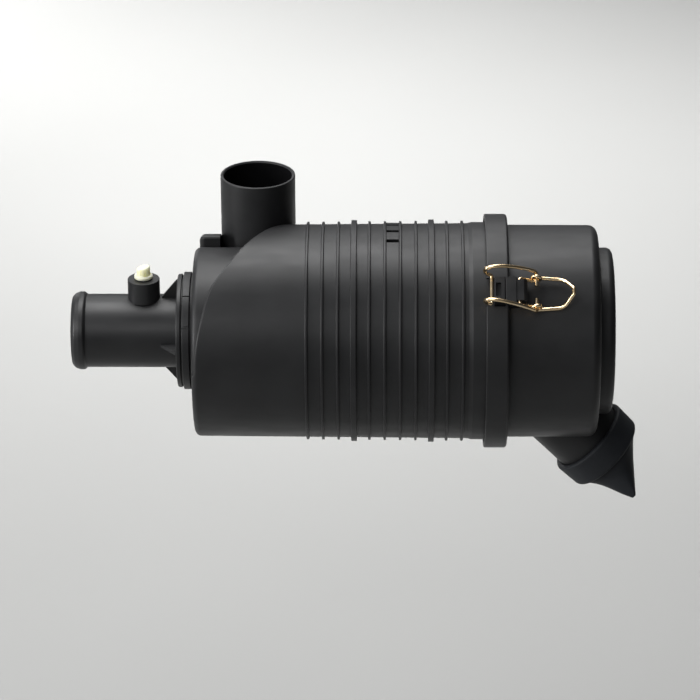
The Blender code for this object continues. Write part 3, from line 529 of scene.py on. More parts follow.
def main_cylinder(name, inset):
    """The large cylinder, whose inlet end follows the ramp above the axis."""
    slope = math.hypot(1.0, RAMP_RUN / RAMP_FRONT_Y)
    turns = [math.tau * (i + 0.5) / FINE for i in range(FINE)]

    def start_x(turn, radius):
        """Where the end starts: on the ramp, or at the flat end below it."""
        if math.sin(turn) > -inset / BODY_END_RADIUS - RAMP_DIP:
            if math.sin(turn) > 0.0 or math.cos(turn) > 0.0:
                return ramp_x(radius * math.cos(turn)) + inset * slope
        return BODY_END_X + inset

    def edge(turn):
        """Rounding of the end's edge: small on the ramp, full below it."""
        above = min(1.0, max(0.0, math.sin(turn) / 0.45))
        if math.sin(turn) > -0.02 and math.cos(turn) > 0.0:
            above = 1.0
        wide = END_ROUNDING - inset
        narrow = RAMP_EDGE if inset == 0.0 else 0.4 * MM
        return wide + (narrow - wide) * above * above * (3 - 2 * above)

    def ring_at(radius_of, x_of):
        return [on_circle(x_of(turn), radius_of(turn), turn) for turn in turns]

    end_radius = BODY_END_RADIUS - inset
    rings = [[(ramp_x(0.0) + inset * slope, 0.0, 0.0)]]
    for share in (0.4, 0.75):
        radius = share * end_radius
        rings.append(ring_at(lambda turn: radius, lambda turn: start_x(turn, radius)))
    arc_steps = 6

    def surface_radius(x):
        return body_radius(x) - inset

    for k in range(arc_steps + 1):
        lean = math.pi / 2 * k / arc_steps

        def radius_of(turn):
            rounding = edge(turn)
            outer = surface_radius(start_x(turn, end_radius) + rounding)
            return outer - rounding + rounding * math.sin(lean)

        def x_of(turn):
            return start_x(turn, radius_of(turn)) + edge(turn) * (1 - math.cos(lean))

        rings.append(ring_at(radius_of, x_of))

    def side_start(turn):
        return start_x(turn, end_radius) + edge(turn) + 0.3 * MM

    for share in (0.33, 0.66):
        def x_between(turn):
            first = side_start(turn)
            return first + max(0.0, PLAIN_SIDE_X - first) * share + share * 0.1 * MM

        rings.append(ring_at(lambda turn: surface_radius(x_between(turn)), x_between))
    corners = [(PLAIN_SIDE_X, surface_radius(PLAIN_SIDE_X))]
    if inset == 0.0:
        corners += rib_corners() + [(BODY_RIM_X, COLLAR_RADIUS)]
    else:
        corners.append((BODY_RIM_X + 10 * MM, surface_radius(BODY_RIM_X)))
    profile = filleted(corners, steps=3)
    # Rings that the ramp has overtaken are held just behind it, in their order.
    for number, (x, radius) in enumerate(profile):
        def held_x(turn):
            return max(x, side_start(turn) + (1.0 + 0.02 * number) * 0.2 * MM)

        def held_radius(turn):
            return radius if held_x(turn) == x else surface_radius(held_x(turn))

        rings.append(ring_at(held_radius, held_x))
    rings.append([(profile[-1].x, 0.0, 0.0)])
    return skin(name, rings)


def small_end(name, inset, centre_y):
    """The smaller drum of the inlet end, with a rounded edge."""
    radius = SMALL_END_RADIUS - inset
    corners = [(SMALL_END_REACH_X, radius), (BODY_END_X + inset, radius, END_ROUNDING - inset)]
    return revolved(name, corners, place=Matrix.Translation((0.0, centre_y, 0.0)))


def duct_outline(inset, shrink):
    """The duct's section; its bottom stays put, because it is inside the body."""
    radius = DUCT_RADIUS - inset - shrink
    front = DUCT_FRONT_Y + inset + shrink
    bottom = DUCT_BOTTOM_Z - inset
    top_turn = math.acos((front - DUCT_CENTRE_Y) / radius)
    bottom_turn = math.asin(bottom / radius)
    corner = max(DUCT_CORNER - min(inset, 2.0 * MM) - shrink, 0.3 * MM)
    outline = [(front, bottom)]
    steps = 56
    for i in range(steps + 1):
        turn = bottom_turn + (top_turn - bottom_turn) * i / steps
        outline.append((DUCT_CENTRE_Y + radius * math.cos(turn), radius * math.sin(turn)))
    # The last three points become one rounded corner at the top of the front.
    outline = outline[:-3] + [(*outline[-1], corner)]
    return filleted(outline, closed=True, steps=8)


def duct(name, inset):
    """The inlet duct: part of a drum behind the axis, with rounded edges."""
    middle = (DUCT_FRONT_Y + inset + 18 * MM, 24 * MM)
    start, end = DUCT_END_X + inset, DUCT_REACH_X - inset
    rounding = END_ROUNDING - inset
    rings = [[(start, *middle)]]
    for k in range(6):
        lean = math.pi / 2 * k / 5
        x = start + rounding * (1 - math.cos(lean))
        section = duct_outline(inset, rounding * (1 - math.sin(lean)))
        rings.append([(x, y, z) for y, z in section])
    rings.append([(end, y, z) for y, z in duct_outline(inset, 0.0)])
    rings.append([(end, *middle)])
    shape = skin(name, rings)
    # In front of the inlet tube the duct stops short, so that the tube shows.
    low = (INLET_X - INLET_RADIUS - inset, DUCT_FRONT_Y - BEYOND, RECESS_LOW_Z)
    high = (DUCT_REACH_X + BEYOND, INLET_Y + inset, DUCT_RADIUS + BEYOND)
    return cut(shape, block(name + "_recess", low, high, 0.0))


def inlet_rod(name, radius, low, high, edge, flare=0.0):
    """The inlet tube's outside, or its bore, which flares at the top."""
    place = Matrix.Translation((INLET_X, INLET_Y, 0.0)) @ AXIS_Z
    corners = [(high, radius + flare, edge)]
    if flare:
        corners += [
            (INLET_TOP_Z - 0.1 * MM, radius + flare),
            (INLET_TOP_Z - 0.9 * MM, radius, 0.4 * MM),
        ]
    steps = 16
    start = INLET_TOP_Z - 3 * MM
    corners += [(start + (low - start) * i / steps, radius) for i in range(steps + 1)]
    return revolved(name, corners, MEDIUM, place=place)


def station(label):
    """Frame of a latch: x along the housing, y across, z outward."""
    return about_axis(90.0 - LATCH_ANGLES[label])


def paint_shade_inside(body):
    """Give the faces inside the inlet and the drum a darker plastic, as painted shade for the dim
    inside.
    """
    body.data.materials.append(PAINTED_SHADE_PLASTIC)
    for face in body.data.polygons:
        x, y, z = face.center
        from_inlet = math.hypot(x - INLET_X, y - INLET_Y)
        in_tube = from_inlet < (INLET_BORE + INLET_RADIUS) / 2
        in_bore = in_tube and 0.0 < z < INLET_TOP_Z - MM
        in_radius = math.hypot(y, z) < SMALL_END_RADIUS - 2 * WALL
        if in_bore or (in_radius and x > BODY_END_X + 0.4 * WALL):
            face.material_index = 1


def make_housing():
    """The body: cylinder, drum, duct, inlet, socket, pad and latch lugs."""
    body = main_cylinder("housing_shell", 0.0)
    join(
        body,
        small_end("small_end", 0.0, SMALL_END_Y + RAMP_STEP),
        duct("duct", 0.0),
        inlet_rod("inlet", INLET_RADIUS, 2 * MM, INLET_TOP_Z, 0.7 * MM),
    )
    socket = revolved(
        "socket",
        [
            (BODY_END_X + 1.2 * MM, SOCKET_NECK_RADIUS),
            (SOCKET_BACK_X, SOCKET_NECK_RADIUS, 0.4 * MM),
            (SOCKET_BACK_X, SOCKET_RADIUS, 0.6 * MM),
            (SOCKET_FACE_X, SOCKET_RADIUS, 0.7 * MM),
        ],
    )
    pad_top = body_radius(0.0) + 0.8 * MM
    # The pad is a ring set off centre, so that it fades into the body.
    lifted = Matrix.Translation((0.0, 0.0, 2 * MM))
    pad_radius = pad_top - 2 * MM
    pad = revolved(
        "pad",
        [
            (-PAD_HALF_LENGTH, PAD_FOOT_RADIUS),
            (-PAD_HALF_LENGTH, pad_radius, 0.3 * MM),
            (PAD_HALF_LENGTH, pad_radius, 0.3 * MM),
            (PAD_HALF_LENGTH, PAD_FOOT_RADIUS),
        ],
        closed=True,
        place=lifted,
    )
    join(body, socket, pad)

    for number, angle in enumerate(SLOT_ANGLES):
        low = (-SLOT_HALF_LENGTH, -SLOT_HALF_WIDTH, pad_top - SLOT_DEPTH)
        high = (SLOT_HALF_LENGTH, SLOT_HALF_WIDTH, pad_top + BEYOND)
        cut(body, block("slot_%d" % number, low, high, 0.25 * MM, about_axis(angle)))

    over_rim = COLLAR_RADIUS + 0.6 * MM
    lug_outline = [
        (LUG_START_X, 73.0 * MM),
        (BODY_RIM_X - 0.4 * MM, 73.0 * MM),
        (BODY_RIM_X - 0.4 * MM, over_rim),
        (LUG_END_X, over_rim),
        (LUG_END_X, LUG_TOP, 0.5 * MM),
        (LUG_START_X, LUG_TOP, 0.5 * MM),
    ]
    for label in LATCH_ANGLES:
        place = station(label)
        join(body, prism("lug_" + label, lug_outline, LUG_HALF_WIDTH, place))
        low = (LUG_START_X + MM, -4.75 * MM, LUG_TOP - 3 * MM)
        high = (LUG_START_X + 4.5 * MM, 4.75 * MM, LUG_TOP + 3 * MM)
        cut(body, block("pocket_" + label, low, high, 0.3 * MM, place))

    for angle in TICK_ANGLES:
        low = (SOCKET_FACE_X - MM, -TICK_HALF_WIDTH, SOCKET_RADIUS - TICK_DEPTH)
        high = (SOCKET_BACK_X + MM, TICK_HALF_WIDTH, SOCKET_RADIUS + 3 * MM)
        cut(body, block("tick_%d" % angle, low, high, 0.0, about_axis(angle)))
    low = (SOCKET_FACE_X + 0.4 * MM, -RIDGE_HALF_WIDTH, SOCKET_RADIUS - MM)
    high = (SOCKET_BACK_X - 0.4 * MM, RIDGE_HALF_WIDTH, SOCKET_RADIUS + RIDGE_HEIGHT)
    join(body, block("socket_ridge", low, high, 0.15 * MM, about_axis(RIDGE_ANGLE)))

    cavity = main_cylinder("cavity", WALL)
    join(
        cavity,
        small_end("cavity_small_end", WALL, SMALL_END_Y),
        duct("cavity_duct", WALL),
        inlet_rod("inlet_bore", INLET_BORE, -5.5 * MM, INLET_TOP_Z + BEYOND, 0.0, 0.7 * MM),
        plain_rod("element_room", ELEMENT_ROOM_RADIUS, 0.0, BODY_END_X + WALL + 0.8 * MM),
        plain_rod("socket_bore", SOCKET_BORE, -125 * MM, SOCKET_FACE_X - BEYOND),
    )
    cut(body, cavity)
    finish_piece(body, PLASTIC, "housing", "housing_plastic", "housing_body")
    # Paint shade on the inside faces with the near-black plastic.
    paint_shade_inside(body)


def prism(name, outline, half_width, place=AXIS_X):
    """A plate with an (x, z) outline and square faces."""
    shape = bmesh.new()
    points = filleted(outline, closed=True, steps=3)
    face = shape.faces.new([shape.verts.new((p.x, -half_width, p.y)) for p in points])
    grown = bmesh.ops.extrude_face_region(shape, geom=[face])
    moved = [item for item in grown["geom"] if isinstance(item, bmesh.types.BMVert)]
    bmesh.ops.translate(shape, vec=(0.0, 2 * half_width, 0.0), verts=moved)
    bmesh.ops.transform(shape, matrix=place, verts=shape.verts)
    return solid(name, shape)


# ---------- outlet tube

def make_outlet():
    """The outlet tube: stub, flange, hose end, gussets and port."""
    snap_x = BODY_END_X + WALL + 0.3 * MM
    tube = revolved(
        "outlet_pipe",
        [
            (STUB_END_X, STUB_RADIUS, MM),
            (snap_x + 2.4 * MM, STUB_RADIUS),
            (snap_x + 2.0 * MM, 30.4 * MM),
            (snap_x + MM, CATCH_RADIUS),
            (snap_x, CATCH_RADIUS),
            (snap_x, STUB_LAND_RADIUS),
            (O_RING_X + GROOVE_HALF, STUB_LAND_RADIUS),
            (O_RING_X + GROOVE_HALF, STUB_RADIUS),
            (O_RING_X - GROOVE_HALF, STUB_RADIUS),
            (O_RING_X - GROOVE_HALF, STUB_LAND_RADIUS),
            (SOCKET_FACE_X - 0.3 * MM, STUB_LAND_RADIUS),
            (SOCKET_FACE_X - 0.3 * MM, 37.0 * MM),
            (FLANGE_BACK_X, 37.0 * MM),
            (FLANGE_BACK_X, FLANGE_RADIUS, 0.5 * MM),
            (FLANGE_FACE_X, FLANGE_RADIUS, 0.9 * MM),
            (FLANGE_FACE_X, HOSE_RADIUS, 1.2 * MM),
            (OUTLET_BEAD_X + 3.4 * MM, HOSE_RADIUS, 1.0 * MM),
            (OUTLET_BEAD_X + 1.9 * MM, OUTLET_BEAD_RADIUS, 1.9 * MM),
            (OUTLET_BEAD_X - 1.2 * MM, OUTLET_BEAD_RADIUS, 3.0 * MM),
            (OUTLET_END_X + 2.2 * MM, 26.0 * MM, 3.0 * MM),
            (OUTLET_END_X, 23.7 * MM, 1.4 * MM),
            (OUTLET_END_X, OUTLET_BORE, 0.3 * MM),
            (STUB_END_X, OUTLET_BORE, 0.5 * MM),
        ],
        closed=True,
    )
    gusset = [
        (FLANGE_FACE_X - GUSSET_LENGTH, HOSE_RADIUS - MM),
        (FLANGE_FACE_X + MM, HOSE_RADIUS - MM),
        (FLANGE_FACE_X + MM, GUSSET_TOP_RADIUS),
        (FLANGE_FACE_X - 0.4 * MM, GUSSET_TOP_RADIUS, 0.5 * MM),
        (FLANGE_FACE_X - GUSSET_LENGTH, HOSE_RADIUS + 0.4 * MM),
    ]
    for number in range(4):
        turn = Matrix.Rotation(number * math.pi / 2, 4, "X")
        join(tube, prism("gusset_%d" % number, gusset, MM, turn))
    place = Matrix.Translation((PORT_X, 0.0, 0.0)) @ AXIS_Z
    port = revolved(
        "port",
        [(PORT_TOP_Z, 11.0 * MM, 0.4 * MM), (24.0 * MM, 11.1 * MM)],
        MEDIUM,
        place=place,
    )
    bore = revolved(
        "port_bore",
        [
            (PORT_TOP_Z + BEYOND, PORT_MOUTH),
            (PORT_TOP_Z + 0.1 * MM, PORT_MOUTH),
            (PORT_TOP_Z - 0.6 * MM, PORT_BORE),
            (0.0, PORT_BORE),
        ],
        MEDIUM,
        place=place,
    )
    inside = plain_rod("tube_bore", OUTLET_BORE, -160 * MM, OUTLET_END_X + 8 * MM)
    join(tube, port)
    cut(tube, bore, inside)
    finish_piece(tube, OUTLET_PLASTIC, "housing", "outlet_plastic", "outlet_tube")


def make_plug():
    """The plug in the port, with a slanted top and flutes, and its seal."""
    at_port = Matrix.Translation((PORT_X, 0.0, 0.0))
    place = at_port @ AXIS_Z
    low = PORT_TOP_Z + 0.8 * MM
    plug = revolved(
        "indicator_port_plug",
        [
            (PLUG_TOP_Z, 4.5 * MM, 0.8 * MM),
            (low + 2.4 * MM, 4.8 * MM, 0.6 * MM),
            (low + 2.0 * MM, 6.35 * MM, 0.8 * MM),
            (low, 6.4 * MM, 0.3 * MM),
            (low, 4.2 * MM),
            (28.5 * MM, 4.2 * MM, 0.5 * MM),
            (27.5 * MM, 3.2 * MM),
        ],
        MEDIUM,
        place=place,
    )
    tilt = Matrix.Translation((PORT_X, 0.0, PLUG_TOP_Z - 1.2 * MM))
    tilt = tilt @ Matrix.Rotation(math.radians(-14.0), 4, "Y")
    cut(plug, block("slant", (-12 * MM, -8 * MM, 0.0), (12 * MM, 8 * MM, 8 * MM), 0.0, tilt))
    for number in range(10):
        turn = at_port @ Matrix.Rotation(number * math.pi / 5, 4, "Z")
        flute_low = (4.05 * MM, -0.35 * MM, low + 2.6 * MM)
        flute_high = (6 * MM, 0.35 * MM, 52 * MM)
        cut(plug, block("flute_%d" % number, flute_low, flute_high, 0.0, turn))
    finish_piece(plug, YELLOW, "plug", "plug_plastic", "port_plug")

    ring_low = PORT_TOP_Z + 0.1 * MM
    ring_top = low - 0.05 * MM
    ring = revolved(
        "plug_seal_ring",
        [(ring_top, 5.9 * MM, 0.2 * MM), (ring_low, 5.9 * MM, 0.2 * MM),
         (ring_low, PORT_BORE, 0.2 * MM), (ring_top, PORT_BORE, 0.2 * MM)],
        MEDIUM,
        closed=True,
        place=place,
    )
    finish_piece(ring, SEAL, "plug", "seal_rubber", "port_plug_seal")


# ---------- service cover

def spout_frame():
    """Frame with x down the spout, y across the housing."""
    down = Vector((1.0, 0.0, -1.0)).normalized()
    across = Vector((0.0, 1.0, 0.0))
    third = down.cross(across)
    matrix = Matrix((down, across, third)).transposed().to_4x4()
    matrix.translation = SPOUT_POINT
    return matrix


def make_cover():
    """The service cover with its spout and latch blocks, and its baffle."""
    cover = revolved(
        "cover_shell",
        [
            (CUP_END_X, CUP_RADIUS, 4.5 * MM),
            (COVER_SHOULDER_X, CUP_RADIUS, 1.2 * MM),
            (COVER_SHOULDER_X, COVER_END_RADIUS, 6.0 * MM),
            (SKIRT_END_X, COVER_RADIUS, 0.4 * MM),
            (SKIRT_END_X, SKIRT_RADIUS, 1.8 * MM),
            (SKIRT_START_X, SKIRT_RADIUS, 0.8 * MM),
            (SKIRT_START_X, SKIRT_BORE, 0.4 * MM),
            (SKIRT_END_X - WALL, SKIRT_BORE),
        ],
    )
    place = spout_frame()
    spout = revolved(
        "spout",
        [(-SPOUT_INSIDE, SPOUT_RADIUS), (SPOUT_BEYOND_RIM, SPOUT_RADIUS, 0.6 * MM)],
        MEDIUM,
        place=place,
    )
    join(cover, spout)
    for label in LATCH_ANGLES:
        place = station(label)
        low = (SKIRT_START_X - BEYOND, -NOTCH_HALF_WIDTH, COLLAR_RADIUS + 0.3 * MM)
        high = (BLOCK_START_X, NOTCH_HALF_WIDTH, SKIRT_RADIUS + BEYOND)
        cut(cover, block("notch_" + label, low, high, 0.0, place))
        wide = [
            (BLOCK_START_X, BLOCK_FOOT),
            (WIDE_BLOCK_END_X, BLOCK_FOOT),
            (WIDE_BLOCK_END_X, LUG_TOP, 0.5 * MM),
            (BLOCK_START_X, LUG_TOP, 0.5 * MM),
        ]
        narrow = [
            (BLOCK_START_X + 2 * MM, 71.8 * MM),
            (NARROW_BLOCK_END_X, 71.8 * MM),
            (NARROW_BLOCK_END_X, LUG_TOP - 2.4 * MM, 0.6 * MM),
            (NARROW_BLOCK_END_X - 2.2 * MM, LUG_TOP - 0.6 * MM, 0.6 * MM),
            (BLOCK_START_X + 2 * MM, LUG_TOP - 0.6 * MM),
        ]
        join(
            cover,
            prism("wide_" + label, wide, LUG_HALF_WIDTH, place),
            prism("narrow_" + label, narrow, NARROW_BLOCK_HALF_WIDTH, place),
        )
        across = place @ Matrix.Translation(PIVOT) @ Matrix.Rotation(math.pi / 2, 4, "Z")
        cut(cover, plain_rod("hole_" + label, PIVOT_HOLE, 12 * MM, -12 * MM, 32, across))
    inner = COVER_RADIUS - WALL
    end_x = COVER_SHOULDER_X - WALL
    cavity = revolved(
        "cover_cavity",
        [
            (CUP_END_X - WALL, CUP_RADIUS - WALL, 2 * MM),
            (end_x, CUP_RADIUS - WALL, 0.8 * MM),
            (end_x, inner, 3.4 * MM),
            (SKIRT_START_X, inner),
        ],
    )
    bore_end = SPOUT_BEYOND_RIM + 10 * MM
    bore = plain_rod("spout_bore", SPOUT_BORE, -SPOUT_INSIDE, bore_end, MEDIUM, spout_frame())
    cut(cover, bore, cavity)
    finish_piece(cover, PLASTIC, "cover", "cover_plastic", "service_cover")

    baffle = plain_tube("dust_baffle", 60 * MM, 61.5 * MM, 72 * MM, 138 * MM)
    low = (104 * MM, -17 * MM, -70 * MM)
    cut(baffle, block("window", low, (131 * MM, 17 * MM, -45 * MM), 2 * MM))
    finish_piece(baffle, PLASTIC, "cover", "cover_plastic", "cover_baffle")


def make_rings():
    """The cover seal and the outlet's O-ring."""
    start = BODY_RIM_X + 0.3 * MM
    seal = plain_tube("cover_seal_ring", 71.3 * MM, 75.0 * MM, start, start + 1.4 * MM, 0.45 * MM)
    finish_piece(seal, SEAL, "housing", "seal_rubber", "cover_seal")
    middle = (STUB_RADIUS + SOCKET_BORE) / 2
    section = []
    for i in range(20):
        turn = -math.tau * i / 20
        x = O_RING_X + O_RING_HALF * math.cos(turn)
        section.append((x, middle + O_RING_HALF * math.sin(turn)))
    o_ring = revolved("outlet_ring", section, closed=True)
    finish_piece(o_ring, SEAL, "housing", "seal_rubber", "outlet_o_ring")


# ---------- dust valve

def valve_ring(place, depth, half_width, half_depth, squareness=2.0, count=MEDIUM):
    """A ring of a rounded oval, at a depth down the spout."""
    below = max(0.0, depth - VALVE_COLLAR) / (VALVE_LENGTH - VALVE_COLLAR)
    droop = VALVE_DROOP * below
    ring = []
    for i in range(count):
        turn = math.tau * i / count
        cosine, sine = math.cos(turn), math.sin(turn)
        power = 2.0 / squareness
        across = half_width * math.copysign(abs(cosine) ** power, cosine)
        along = half_depth * math.copysign(abs(sine) ** power, sine)
        ring.append(place @ Vector((depth, across, along - droop)))
    return ring


def flattened(share):
    """Half depth of the valve's outside, a share of the way down to its lips."""
    return VALVE_RADIUS + (LIP_HALF_DEPTH - VALVE_RADIUS) * share ** 0.93


def make_valve():
    """The rubber valve: a collar on the spout, and a body flattened to lips."""
    place = spout_frame()
    bore = SPOUT_RADIUS + 0.3 * MM
    seat = SPOUT_BEYOND_RIM + 0.3 * MM
    start = VALVE_COLLAR + 2.8 * MM
    outline = filleted(
        [
            (seat + 2 * MM, VALVE_BORE, 0.8 * MM),
            (seat, VALVE_BORE, 0.3 * MM),
            (seat, bore, 0.3 * MM),
            (0.0, bore, 0.8 * MM),
            (0.0, 30.2 * MM, 1.9 * MM),
            (VALVE_COLLAR + 0.6 * MM, 29.3 * MM, 3.0 * MM),
            (VALVE_COLLAR + 1.4 * MM, 25.0 * MM, 0.5 * MM),
            (start, VALVE_RADIUS),
        ],
        steps=6,
    )
    rings = [valve_ring(place, depth, radius, radius) for depth, radius in outline]
    steps = 16
    for k in range(1, steps + 1):
        share = k / steps
        depth = start + (VALVE_LENGTH - start) * share
        half_width = VALVE_RADIUS + 1.1 * MM * share
        squareness = 2.0 + 5.0 * share ** 3
        rings.append(valve_ring(place, depth, half_width, flattened(share), squareness))
    rings.append(valve_ring(place, VALVE_LENGTH, 25.4 * MM, 1.4 * MM, 7.0))
    rings.append(valve_ring(place, VALVE_LENGTH, 23.4 * MM, 0.25 * MM, 4.0))
    # The inside goes back up from the lips to the seat.
    for k in range(steps, -1, -1):
        share = k / steps
        depth = seat + 2.4 * MM + (VALVE_LENGTH - 0.8 * MM - seat - 2.4 * MM) * share
        below = max(0.0, (depth - start) / (VALVE_LENGTH - start))
        half_depth = max(0.25 * MM, min(VALVE_BORE, flattened(below) - 2.2 * MM))
        half_width = VALVE_BORE + 1.6 * MM * share
        rings.append(valve_ring(place, depth, half_width, half_depth, 2.0 + 0.5 * share))
    valve = skin("rubber_dust_valve", rings, closed=True)
    finish_piece(valve, RUBBER, "valve", "valve_rubber", "dust_valve", sharp=48.0)


# ---------- latches

def soft_path(corners, bend, steps=7):
    """A path whose inner corners become short curved bends."""
    points = [Vector(corners[0])]
    for before, corner, after in zip(corners, corners[1:], corners[2:]):
        corner = Vector(corner)
        back = Vector(before) - corner
        ahead = Vector(after) - corner
        reach = min(bend, back.length * 0.48, ahead.length * 0.48)
        start = corner + back.normalized() * reach
        end = corner + ahead.normalized() * reach
        for i in range(steps + 1):
            t = i / steps
            points.append(start * (1 - t) ** 2 + corner * 2 * t * (1 - t) + end * t * t)
    points.append(Vector(corners[-1]))
    return points


def bent_wire(name, points, place):
    """A round wire along points of a latch's frame, as a mesh."""
    data = bpy.data.curves.new(name, "CURVE")
    data.dimensions = "3D"
    data.bevel_depth = WIRE_RADIUS
    data.bevel_resolution = 5
    data.use_fill_caps = True
    spline = data.splines.new("POLY")
    spline.points.add(len(points) - 1)
    for control, point in zip(spline.points, points):
        control.co = (*(place @ point), 1.0)
    curve = new_object(name + "_curve", data)
    mesh = evaluated_mesh(curve)
    bpy.data.objects.remove(curve)
    return new_object(name, mesh)


def both_sides(half):
    """A path that runs down one side of the latch and back along the other."""
    return half + [Vector((x, -y, z)) for x, y, z in reversed(half)]


def handle_path():
    """Half of the lever: pivot end, one coil round the link, leg, tip."""
    inner, outer = 9.2 * MM, 11.5 * MM
    leg = EYE.z - EYE_RADIUS
    half = soft_path(
        [
            (PIVOT.x, 4.0 * MM, PIVOT.z),
            (PIVOT.x, inner, PIVOT.z),
            (EYE.x - 3.5 * MM, inner, leg + 0.2 * MM),
            (EYE.x, inner, leg),
        ],
        2.2 * MM,
    )
    coil = 28
    for i in range(1, coil + 1):
        turn = math.tau * i / coil - math.pi / 2
        across = inner + (outer - inner) * i / coil
        round_eye = (EYE_RADIUS * math.cos(turn), across, EYE_RADIUS * math.sin(turn))
        half.append(EYE + Vector(round_eye))
    half += soft_path(
        [
            (EYE.x + 0.4 * MM, outer, leg),
            (EYE.x + 4.0 * MM, 11.1 * MM, leg - 0.3 * MM),
            (115.0 * MM, 10.1 * MM, 76.5 * MM),
            (121.6 * MM, 2.0 * MM, 82.6 * MM),
            (121.6 * MM, 0.0, 82.6 * MM),
        ],
        4.6 * MM,
    )[:-1]
    return half


def link_path():
    """Half of the hook wire, from the eye to the crosspiece behind the lug."""
    # Millimetres in the latch's frame.
    route = [
        (96.6, 4.4, 79.8),
        (96.6, 13.9, 79.8),
        (94.9, 13.9, 83.4),
        (90.7, 13.7, 87.6),
        (85.5, 13.3, 91.6),
        (80.0, 12.9, 94.9),
        (74.0, 12.4, 97.8),
        (68.0, 11.8, 98.9),
        (63.3, 11.2, 97.6),
        (61.4, 10.9, 94.3),
        (61.8, 10.6, 90.4),
        (63.4, 10.4, 87.2),
        (66.4, 10.3, 85.0),
        (66.4, 0.0, 85.0),
    ]
    return soft_path([Vector(point) * MM for point in route], 2.4 * MM)[:-1]


def make_latches():
    """A bent lever and a hook wire at each latch."""
    for label in LATCH_ANGLES:
        place = station(label)
        lever = bent_wire("latch_lever_" + label, both_sides(handle_path()), place)
        finish_piece(lever, WIRE, "handle_" + label, "latch_wire", "latch_handle_" + label)
        hook = bent_wire("latch_hook_" + label, both_sides(link_path()), place)
        finish_piece(hook, WIRE, "link_" + label, "latch_wire", "latch_link_" + label)


# ---------- filter elements

def pleated(name, count, inner, outer, start, end, thickness):
    """Pleated paper: rounded folds with an even wall, along the axis."""
    per_fold = 8
    total = count * per_fold
    middles = []
    for i in range(total):
        wave = math.cos(math.tau * i / per_fold)
        bent = math.copysign(abs(wave) ** 0.75, wave)
        radius = (inner + outer) / 2 + (outer - inner - thickness) / 2 * bent
        turn = math.tau * i / total
        middles.append(Vector((math.cos(turn), math.sin(turn))) * radius)
    rings = []
    # Round the paper's section: along one face, and back along the other.
    for offset, x in ((1, start), (1, end), (-1, end), (-1, start)):
        ring = []
        for i, middle in enumerate(middles):
            along = middles[(i + 1) % total] - middles[i - 1]
            side = Vector((along.y, -along.x)).normalized() * (offset * thickness / 2)
            ring.append((x, *(middle + side)))
        rings.append(ring)
    return skin(name, rings, closed=True)


def perforated(name, inner, outer, start, end, around, hole_share=0.52):
    """A sheet-metal tube with staggered round holes."""
    shape = bmesh.new()
    pitch = math.tau * (inner + outer) / 2 / around
    margin = 3 * MM
    rows = max(1, round((end - start - 2 * margin) / (pitch * 0.87)))
    step_x = (end - start - 2 * margin) / rows
    sides = 8
    grid = {}

    def vertex(u, v, radius):
        key = (round((u % around) * 1000), round(v * 1000), round(radius / MM * 1000))
        if key not in grid:
            place = on_circle(start + margin + v * step_x, radius, math.tau * u / around)
            grid[key] = shape.verts.new(place)
        return grid[key]

    border = [(0, 0), (0.5, 0), (1, 0), (1, 0.5), (1, 1), (0.5, 1), (0, 1), (0, 0.5)]
    for row in range(rows):
        shift = 0.5 * (row % 2)
        for column in range(around):
            rim = [(column + shift + u, row + v) for u, v in border]
            centre = (column + shift + 0.5, row + 0.5)
            holes = []
            for k in range(sides):
                turn = math.tau * k / sides - 3 * math.pi / 4
                holes.append((
                    centre[0] + hole_share / 2 * math.cos(turn),
                    centre[1] + hole_share / 2 * math.sin(turn) * pitch / step_x,
                ))
            for k in range(sides):
                n = (k + 1) % sides
                for radius, flip in ((outer, 1), (inner, -1)):
                    quad = [vertex(*rim[k], radius), vertex(*rim[n], radius),
                            vertex(*holes[n], radius), vertex(*holes[k], radius)]
                    shape.faces.new(quad[::flip])
                shape.faces.new([vertex(*holes[k], outer), vertex(*holes[n], outer),
                                 vertex(*holes[n], inner), vertex(*holes[k], inner)])
    beyond = margin / step_x
    for edge_row, end_row in ((0, -beyond), (rows, rows + beyond)):
        for column in range(around * 2):
            sides_u = column / 2, (column + 1) / 2
            ends = []
            for radius in (outer, inner):
                near = [vertex(u, edge_row, radius) for u in sides_u]
                far = [vertex(u, end_row, radius) for u in sides_u]
                shape.faces.new((*near, far[1], far[0]))
                ends.append(far)
            shape.faces.new((*ends[0], ends[1][1], ends[1][0]))
    return solid(name, shape)


def in_mm(outline):
    """An outline given in millimetres, in metres."""
    return [tuple(value * MM for value in corner) for corner in outline]


def make_primary():
    """The outer element: two caps, pleats between two liners."""
    cap = revolved(
        "primary_sealing_cap",
        in_mm([
            (-117.0, PRIMARY_CAP, 1.2),
            (-128.9, PRIMARY_CAP, 1.0),
            (-130.9, 50, 1.0),
            (-130.9, 33.9, 1.0),
            (-127.4, 28.3, 1.0),
            (-117.0, 28.3, 0.5),
        ]),
        closed=True,
    )
    finish_piece(cap, URETHANE, "primary_element", "urethane", "primary_seal_cap")
    end_cap = revolved(
        "primary_closed_cap",
        in_mm([
            (146.0, PRIMARY_CAP, 3.0),
            (128.0, PRIMARY_CAP, 0.8),
            (128.0, 30, 0.5),
            (132.0, 30, 0.5),
        ]),
    )
    finish_piece(end_cap, URETHANE, "primary_element", "urethane", "primary_end_cap")
    ends = PRIMARY_START_X, PRIMARY_END_X
    media = pleated("primary_pleats", 90, 33.6 * MM, 48.5 * MM, *ends, 0.55 * MM)
    finish_piece(media, PAPER, "primary_element", "filter_paper", "primary_media", sharp=60.0)
    inner = perforated("primary_inner_tube", 31.8 * MM, 32.6 * MM, *ends, 40)
    finish_piece(inner, ZINC, "primary_element", "liner_steel", "primary_inner_liner")
    outer = perforated("primary_outer_tube", 48.9 * MM, 49.7 * MM, *ends, 62)
    finish_piece(outer, ZINC, "primary_element", "liner_steel", "primary_outer_liner")


